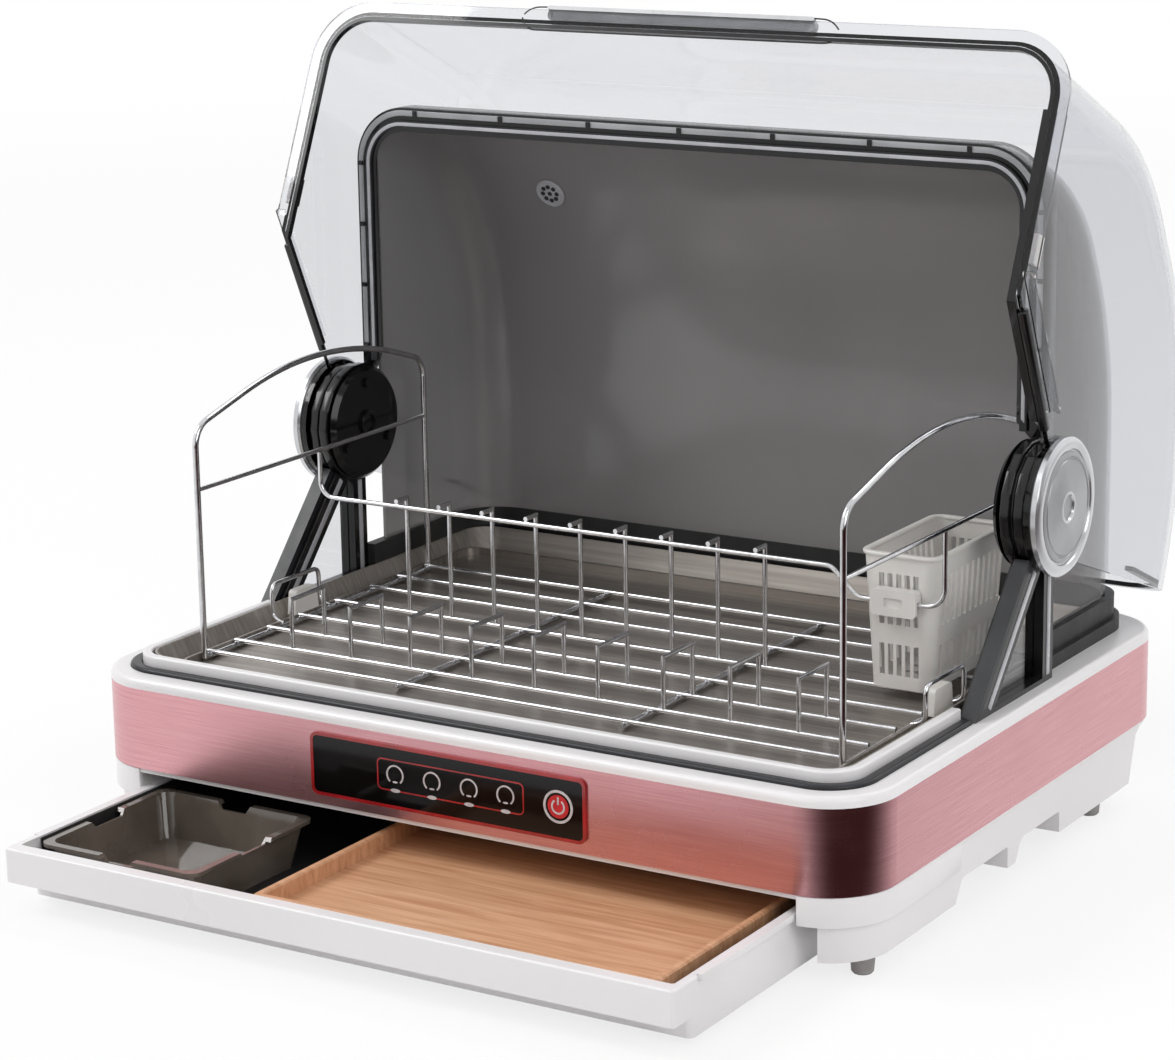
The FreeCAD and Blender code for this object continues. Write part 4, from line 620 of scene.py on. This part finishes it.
layOnPanel("powerRim", printedInk, powerX, powerZ)
drawRing(power["arc"], power["arcBand"], power["arcGap"])
layOnPanel("powerArc", printedInk, powerX, powerZ)
bpy.ops.mesh.primitive_plane_add(size=1 * mm)
bpy.ops.transform.resize(value=(*power["bar"], 1))
layOnPanel("powerBar", printedInk, powerX, powerZ + power["barUp"])
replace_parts(keyPieces[0], "touch_icons")
print("touch keys done")

# wire loops that hook over the white clips at both ends of the rack
rackLoop = {
    "in": 226, "out": 234.8, "front": -66, "back": -15, "low": 108.5, "top": 133, "bend": 12, "thick": 3,
}
front, back, low, top, bend = (rackLoop[key] for key in ("front", "back", "low", "top", "bend"))
for side, word in bothSides:
    foot, x = side * rackLoop["in"], side * rackLoop["out"]
    loop = bendWire(
        f"rackLoop_{word}",
        [(foot, front, low), (x, front, low + 2), (x, front, low + bend), (x, front, top),
         (x, front + bend, top), (x, back - bend, top),
         (x, back, top), (x, back, low + bend), (x, back, low + 2), (foot, back, low)],
        rackLoop["thick"], chromeWire, "base")
print("rack loops done")

# a raised pale strip down each bar of the braces, outside and inside: a painted highlight on the black bars
braceHighlightStrip = {
    "leg": ((-32.0, 113.5), (29.2, 182.0)), "post": ((50.0, 113.5), (50.0, 178.0)),
    "wide": 4.2, "thick": 1.4, "faces": (246, 259),
}
for side, word in bothSides:
    for bar in ("leg", "post"):
        for face in braceHighlightStrip["faces"]:
            y, z, lean = drawBar(braceHighlightStrip["thick"], braceHighlightStrip["wide"], *braceHighlightStrip[bar])
            highlightStrip = settle(
                f"braceRib_{word}_{bar}_{face}", paleGreyAndHighlight, "base",
                at=spot(side * face, y, z), turn=(lean, 0, 0))
            roundOff(highlightStrip, 0.6, 2)
            smoothBy(highlightStrip)

# round vent in the cover, with a raised rim and dark discs for its holes, painted shade: one in the middle,
# the others round it
vent = {
    "at": (-159, 159.3, 362.9), "slope": (0.8909, 0.4542), "sides": 40,
    "steps": [(10.7, -0.4), (10.7, 0.8), (9.9, 1.3), (9.2, 1.3), (8.6, 0.8), (0.5, 0.9)],
    "around": 8, "ring": 5.4, "holeRadius": 1.6, "holeDeep": 0.8, "holeHigh": 0.9,
}
ventTurn = (math.pi - math.atan2(*vent["slope"]), 0, 0)
drawOut(vent["sides"], vent["steps"])
ventFace = settle("ventFace", paleGreyAndHighlight, "base", at=spot(*vent["at"]), turn=ventTurn)
smoothBy(ventFace, 30)
turns = [k * 2 * math.pi / vent["around"] for k in range(vent["around"])]
holePlaces = [(0, 0)] + [(vent["ring"] * math.cos(turn), vent["ring"] * math.sin(turn)) for turn in turns]
for number, (u, v) in enumerate(holePlaces, 1):
    bpy.ops.mesh.primitive_cylinder_add(
        vertices=16, radius=vent["holeRadius"] * mm, depth=vent["holeDeep"] * mm)
    bpy.ops.object.mode_set(mode="EDIT")
    bpy.ops.transform.translate(value=(u * mm, v * mm, vent["holeHigh"] * mm))
    bpy.ops.object.mode_set(mode="OBJECT")
    settle(f"ventHoleShade_{number}", mattBlackAbs, "base", at=spot(*vent["at"]), turn=ventTurn)

# lip round the top of the basket
basketLip = {"wide": 53, "long": 103.6, "corner": 9.5, "band": 4.4, "thick": 2.6, "at": (193, 31.8, 193.0)}
drawFrame(
    basketLip["wide"], basketLip["long"], basketLip["corner"], basketLip["band"], basketLip["thick"], bends=8)
lip = settle("basketLip", greyPp, "base", at=spot(*basketLip["at"]), turn=(-math.pi / 2, 0, 0))
roundOff(lip, 1.0, 3, 50)
smoothBy(lip)

# raised skirt round both front corners of the case, above the drawer's level
cornerSkirt = {
    "half": 269.6, "front": -213.7, "low": 34.0, "high": 51.6, "corner": 41.6, "wall": 3,
    "long": 400, "inner": 229.5, "rear": -88,
}
for side, word in bothSides:
    drawFrame(
        2 * cornerSkirt["half"], cornerSkirt["long"], cornerSkirt["corner"], cornerSkirt["wall"],
        cornerSkirt["high"] - cornerSkirt["low"], bends=12)
    skirt = settle(
        f"cornerSkirt_{word}", whiteAbs, "base", turn=(-math.pi / 2, 0, 0),
        at=spot(0, cornerSkirt["front"] + cornerSkirt["long"] / 2, cornerSkirt["low"]))
    bpy.ops.object.mode_set(mode="EDIT")
    bpy.ops.mesh.select_all(action="SELECT")
    bpy.ops.mesh.bisect(
        plane_co=(side * cornerSkirt["inner"] * mm, 0, 0), plane_no=(side, 0, 0),
        clear_inner=True, use_fill=True)
    bpy.ops.mesh.select_all(action="SELECT")
    bpy.ops.mesh.bisect(
        plane_co=spot(0, cornerSkirt["rear"], 0), plane_no=(0, 1, 0), clear_outer=True, use_fill=True)
    bpy.ops.mesh.select_all(action="SELECT")
    bpy.ops.mesh.normals_make_consistent(inside=False)
    bpy.ops.object.mode_set(mode="OBJECT")
    roundOff(skirt, 0.5, 2, 50)
    smoothBy(skirt)

# tapered rubber feet, joined into one piece
rubberFoot = {
    "places": ((-253, -179), (253, -179), (-253, 131), (253, 131)), "sides": 40,
    "steps": [(5.4, 0), (6.4, 1.2), (7.0, 8.0), (7.8, 12.5)],
}
feet = []
for x, y in rubberFoot["places"]:
    drawOut(rubberFoot["sides"], rubberFoot["steps"])
    feet.append(settle("rubberFoot", mouldedRubber, "base", at=spot(x, y, 0)))
    smoothBy(feet[-1], 30)
bpy.ops.object.select_all(action="DESELECT")
for foot in feet:
    foot.select_set(True)
bpy.context.view_layer.objects.active = feet[0]
bpy.ops.object.join()
feet[0].name = feet[0].data.name = "rubberFeet"
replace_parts(feet[0], "rubber_feet")
print("ribs, vent, lip, skirt and feet done")

floorLook = {
    "size": 40, "middle": (0, 4, 0), "colour": "#F4F4F4", "glow": 0.78, "glowFrom": 1.2, "whiteFrom": 4.0}
bpy.ops.object.select_all(action="DESELECT")
bpy.ops.mesh.primitive_plane_add(size=floorLook["size"], location=floorLook["middle"])
floor = bpy.context.object
floor.name = "floor"
bpy.ops.object.transform_apply(location=True, rotation=True, scale=True)
paleFloor, shader, place = startMaterial(
    "paleFloor", {"Base Color": toLinear(floorLook["colour"]), "Roughness": 0.9})
# white where it is looked at, mirrored or seen through something, more so far from the object
white = addNode(paleFloor, "ShaderNodeEmission", {"Color": (1, 1, 1, 1), "Strength": 1.0})
path = addNode(paleFloor, "ShaderNodeLightPath")
away = addNode(paleFloor, "ShaderNodeVectorMath", {"operation": "LENGTH"}, {0: place})
glow = addNode(
    paleFloor, "ShaderNodeMapRange",
    {
        "From Min": floorLook["glowFrom"], "From Max": floorLook["whiteFrom"], "To Min": floorLook["glow"],
        "To Max": 1.0},
    {"Value": away.outputs["Value"]})
floorSeen = addNode(
    paleFloor, "ShaderNodeMath", {"operation": "MAXIMUM"},
    {0: path.outputs["Is Camera Ray"], 1: path.outputs["Is Transmission Ray"]})
floorShown = addNode(
    paleFloor, "ShaderNodeMath", {"operation": "MAXIMUM"},
    {0: floorSeen.outputs[0], 1: path.outputs["Is Glossy Ray"]})
share = addNode(
    paleFloor, "ShaderNodeMath", {"operation": "MULTIPLY"},
    {0: floorShown.outputs[0], 1: glow.outputs["Result"]})
both = addNode(
    paleFloor, "ShaderNodeMixShader", {}, {0: share.outputs[0], 1: shader.outputs[0], 2: white.outputs[0]})
# a dark card spreads out before the near corner: it isn't seen itself, but the metal band and other
# glossy faces mirror it, and from behind it shows through the clear lid
cornerCard = {
    "tip": (0.27, -0.18, 0), "toward": (0.857, -0.515, 0), "edge": -0.5, "full": 0.86, "colour": "#301212"}
fromTip = addNode(
    paleFloor, "ShaderNodeVectorMath", {"operation": "SUBTRACT", 1: cornerCard["tip"]}, {0: place})
headingOut = addNode(paleFloor, "ShaderNodeVectorMath", {"operation": "NORMALIZE"}, {0: fromTip.outputs[0]})
inCard = addNode(
    paleFloor, "ShaderNodeVectorMath", {"operation": "DOT_PRODUCT", 1: cornerCard["toward"]},
    {0: headingOut.outputs[0]})
card = addNode(
    paleFloor, "ShaderNodeMapRange",
    {"interpolation_type": "SMOOTHSTEP", "From Min": cornerCard["edge"], "From Max": cornerCard["full"]},
    {"Value": inCard.outputs["Value"]})
cardShare = addNode(
    paleFloor, "ShaderNodeMath", {"operation": "MULTIPLY"},
    {0: card.outputs["Result"], 1: path.outputs["Is Glossy Ray"]})
dark = addNode(
    paleFloor, "ShaderNodeEmission", {"Color": toLinear(cornerCard["colour"]), "Strength": 1.0})
withCard = addNode(
    paleFloor, "ShaderNodeMixShader", {}, {0: cardShare.outputs[0], 1: both.outputs[0], 2: dark.outputs[0]})
link(paleFloor, withCard.outputs[0], paleFloor.node_tree.nodes["Material Output"].inputs["Surface"])
floor.data.materials.append(paleFloor)

world = bpy.context.scene.world or bpy.data.worlds.new("studio")
bpy.context.scene.world = world
world.use_nodes = True
tree = world.node_tree
for node in list(tree.nodes):
    tree.nodes.remove(node)
output = tree.nodes.new("ShaderNodeOutputWorld")
studio = {"toward": (0.85, -0.51, 0.13), "from": 0.5, "to": 0.93, "darkest": 0.03, "onObject": 0.66}
ray = addNode(world, "ShaderNodeLightPath")
heading = addNode(world, "ShaderNodeTexCoord")
# the studio is darker in front of the object's near corner, which its reflections show most
facing = addNode(
    world, "ShaderNodeVectorMath", {"operation": "DOT_PRODUCT", 1: studio["toward"]},
    {0: heading.outputs["Generated"]})
shade = addNode(
    world, "ShaderNodeMapRange",
    {"From Min": studio["from"], "From Max": studio["to"], "To Min": 1.0, "To Max": studio["darkest"]},
    {"Value": facing.outputs["Value"]})
skySeen = addNode(
    world, "ShaderNodeMath", {"operation": "MAXIMUM"},
    {0: ray.outputs["Is Camera Ray"], 1: ray.outputs["Is Transmission Ray"]})
# strength 1 where it is looked at, the darker patch where it is mirrored, a plain level as light
mirrored = addNode(
    world, "ShaderNodeMath", {"operation": "MULTIPLY"},
    {0: ray.outputs["Is Glossy Ray"], 1: shade.outputs["Result"]})
skyBrightness = addNode(
    world, "ShaderNodeMath", {"operation": "MAXIMUM"}, {0: skySeen.outputs[0], 1: mirrored.outputs[0]})
skyShown = addNode(
    world, "ShaderNodeMath", {"operation": "MAXIMUM"},
    {0: skySeen.outputs[0], 1: ray.outputs["Is Glossy Ray"]})
plain = addNode(
    world, "ShaderNodeMath", {"operation": "MULTIPLY", 1: studio["onObject"]}, {0: shade.outputs["Result"]})
dim = addNode(world, "ShaderNodeBackground", {"Color": (1, 1, 1, 1)}, {"Strength": plain.outputs[0]})
bright = addNode(
    world, "ShaderNodeBackground", {"Color": (1, 1, 1, 1)}, {"Strength": skyBrightness.outputs[0]})
mix = addNode(
    world, "ShaderNodeMixShader", {}, {0: skyShown.outputs[0], 1: dim.outputs[0], 2: bright.outputs[0]})
link(world, mix.outputs[0], output.inputs["Surface"])

lamps = {
    "key": {"at": (-2.1, -1.2, 2.5), "size": 1.4, "power": 42},
    "fill": {"at": (2.0, -1.0, 1.3), "size": 1.6, "power": 21},
    "back": {"at": (0.2, 1.9, 2.1), "size": 1.8, "power": 22},
}
aim = Vector((0, 0, 0.2))
for name, lamp in lamps.items():
    light = bpy.data.lights.new(name, "AREA")
    light.shape = "SQUARE"
    light.size = lamp["size"]
    light.energy = lamp["power"]
    holder = bpy.data.objects.new(name, light)
    holder.location = lamp["at"]
    holder.rotation_euler = (aim - Vector(lamp["at"])).to_track_quat("-Z", "Y").to_euler()
    bpy.context.collection.objects.link(holder)

# the camera that was solved from the photograph
view = {
    "at": (1.0619, -1.7547 + caseY, 0.6989), "yaw": 31.995, "pitch": 14.106, "roll": -0.912, "lens": 103.85,
    "sensor": 36, "reach": 100,
}
yaw, pitch, roll = (math.radians(view[key]) for key in ("yaw", "pitch", "roll"))
forward = Vector((-math.sin(yaw) * math.cos(pitch), math.cos(yaw) * math.cos(pitch), -math.sin(pitch)))
right = Vector((math.cos(yaw), math.sin(yaw), 0))
upward = right.cross(forward)
turnedRight = right * math.cos(roll) + upward * math.sin(roll)
turnedUp = upward * math.cos(roll) - right * math.sin(roll)
lens = bpy.data.cameras.new("camera")
lens.sensor_fit = "HORIZONTAL"
lens.sensor_width = view["sensor"]
lens.lens = view["lens"]
lens.clip_end = view["reach"]
camera = bpy.data.objects.new("camera", lens)
turned = Matrix((turnedRight, turnedUp, -forward)).transposed().to_4x4()
camera.matrix_world = Matrix.Translation(view["at"]) @ turned
bpy.context.collection.objects.link(camera)
bpy.context.scene.camera = camera
bpy.context.scene.view_settings.view_transform = "Standard"
print("stage set")
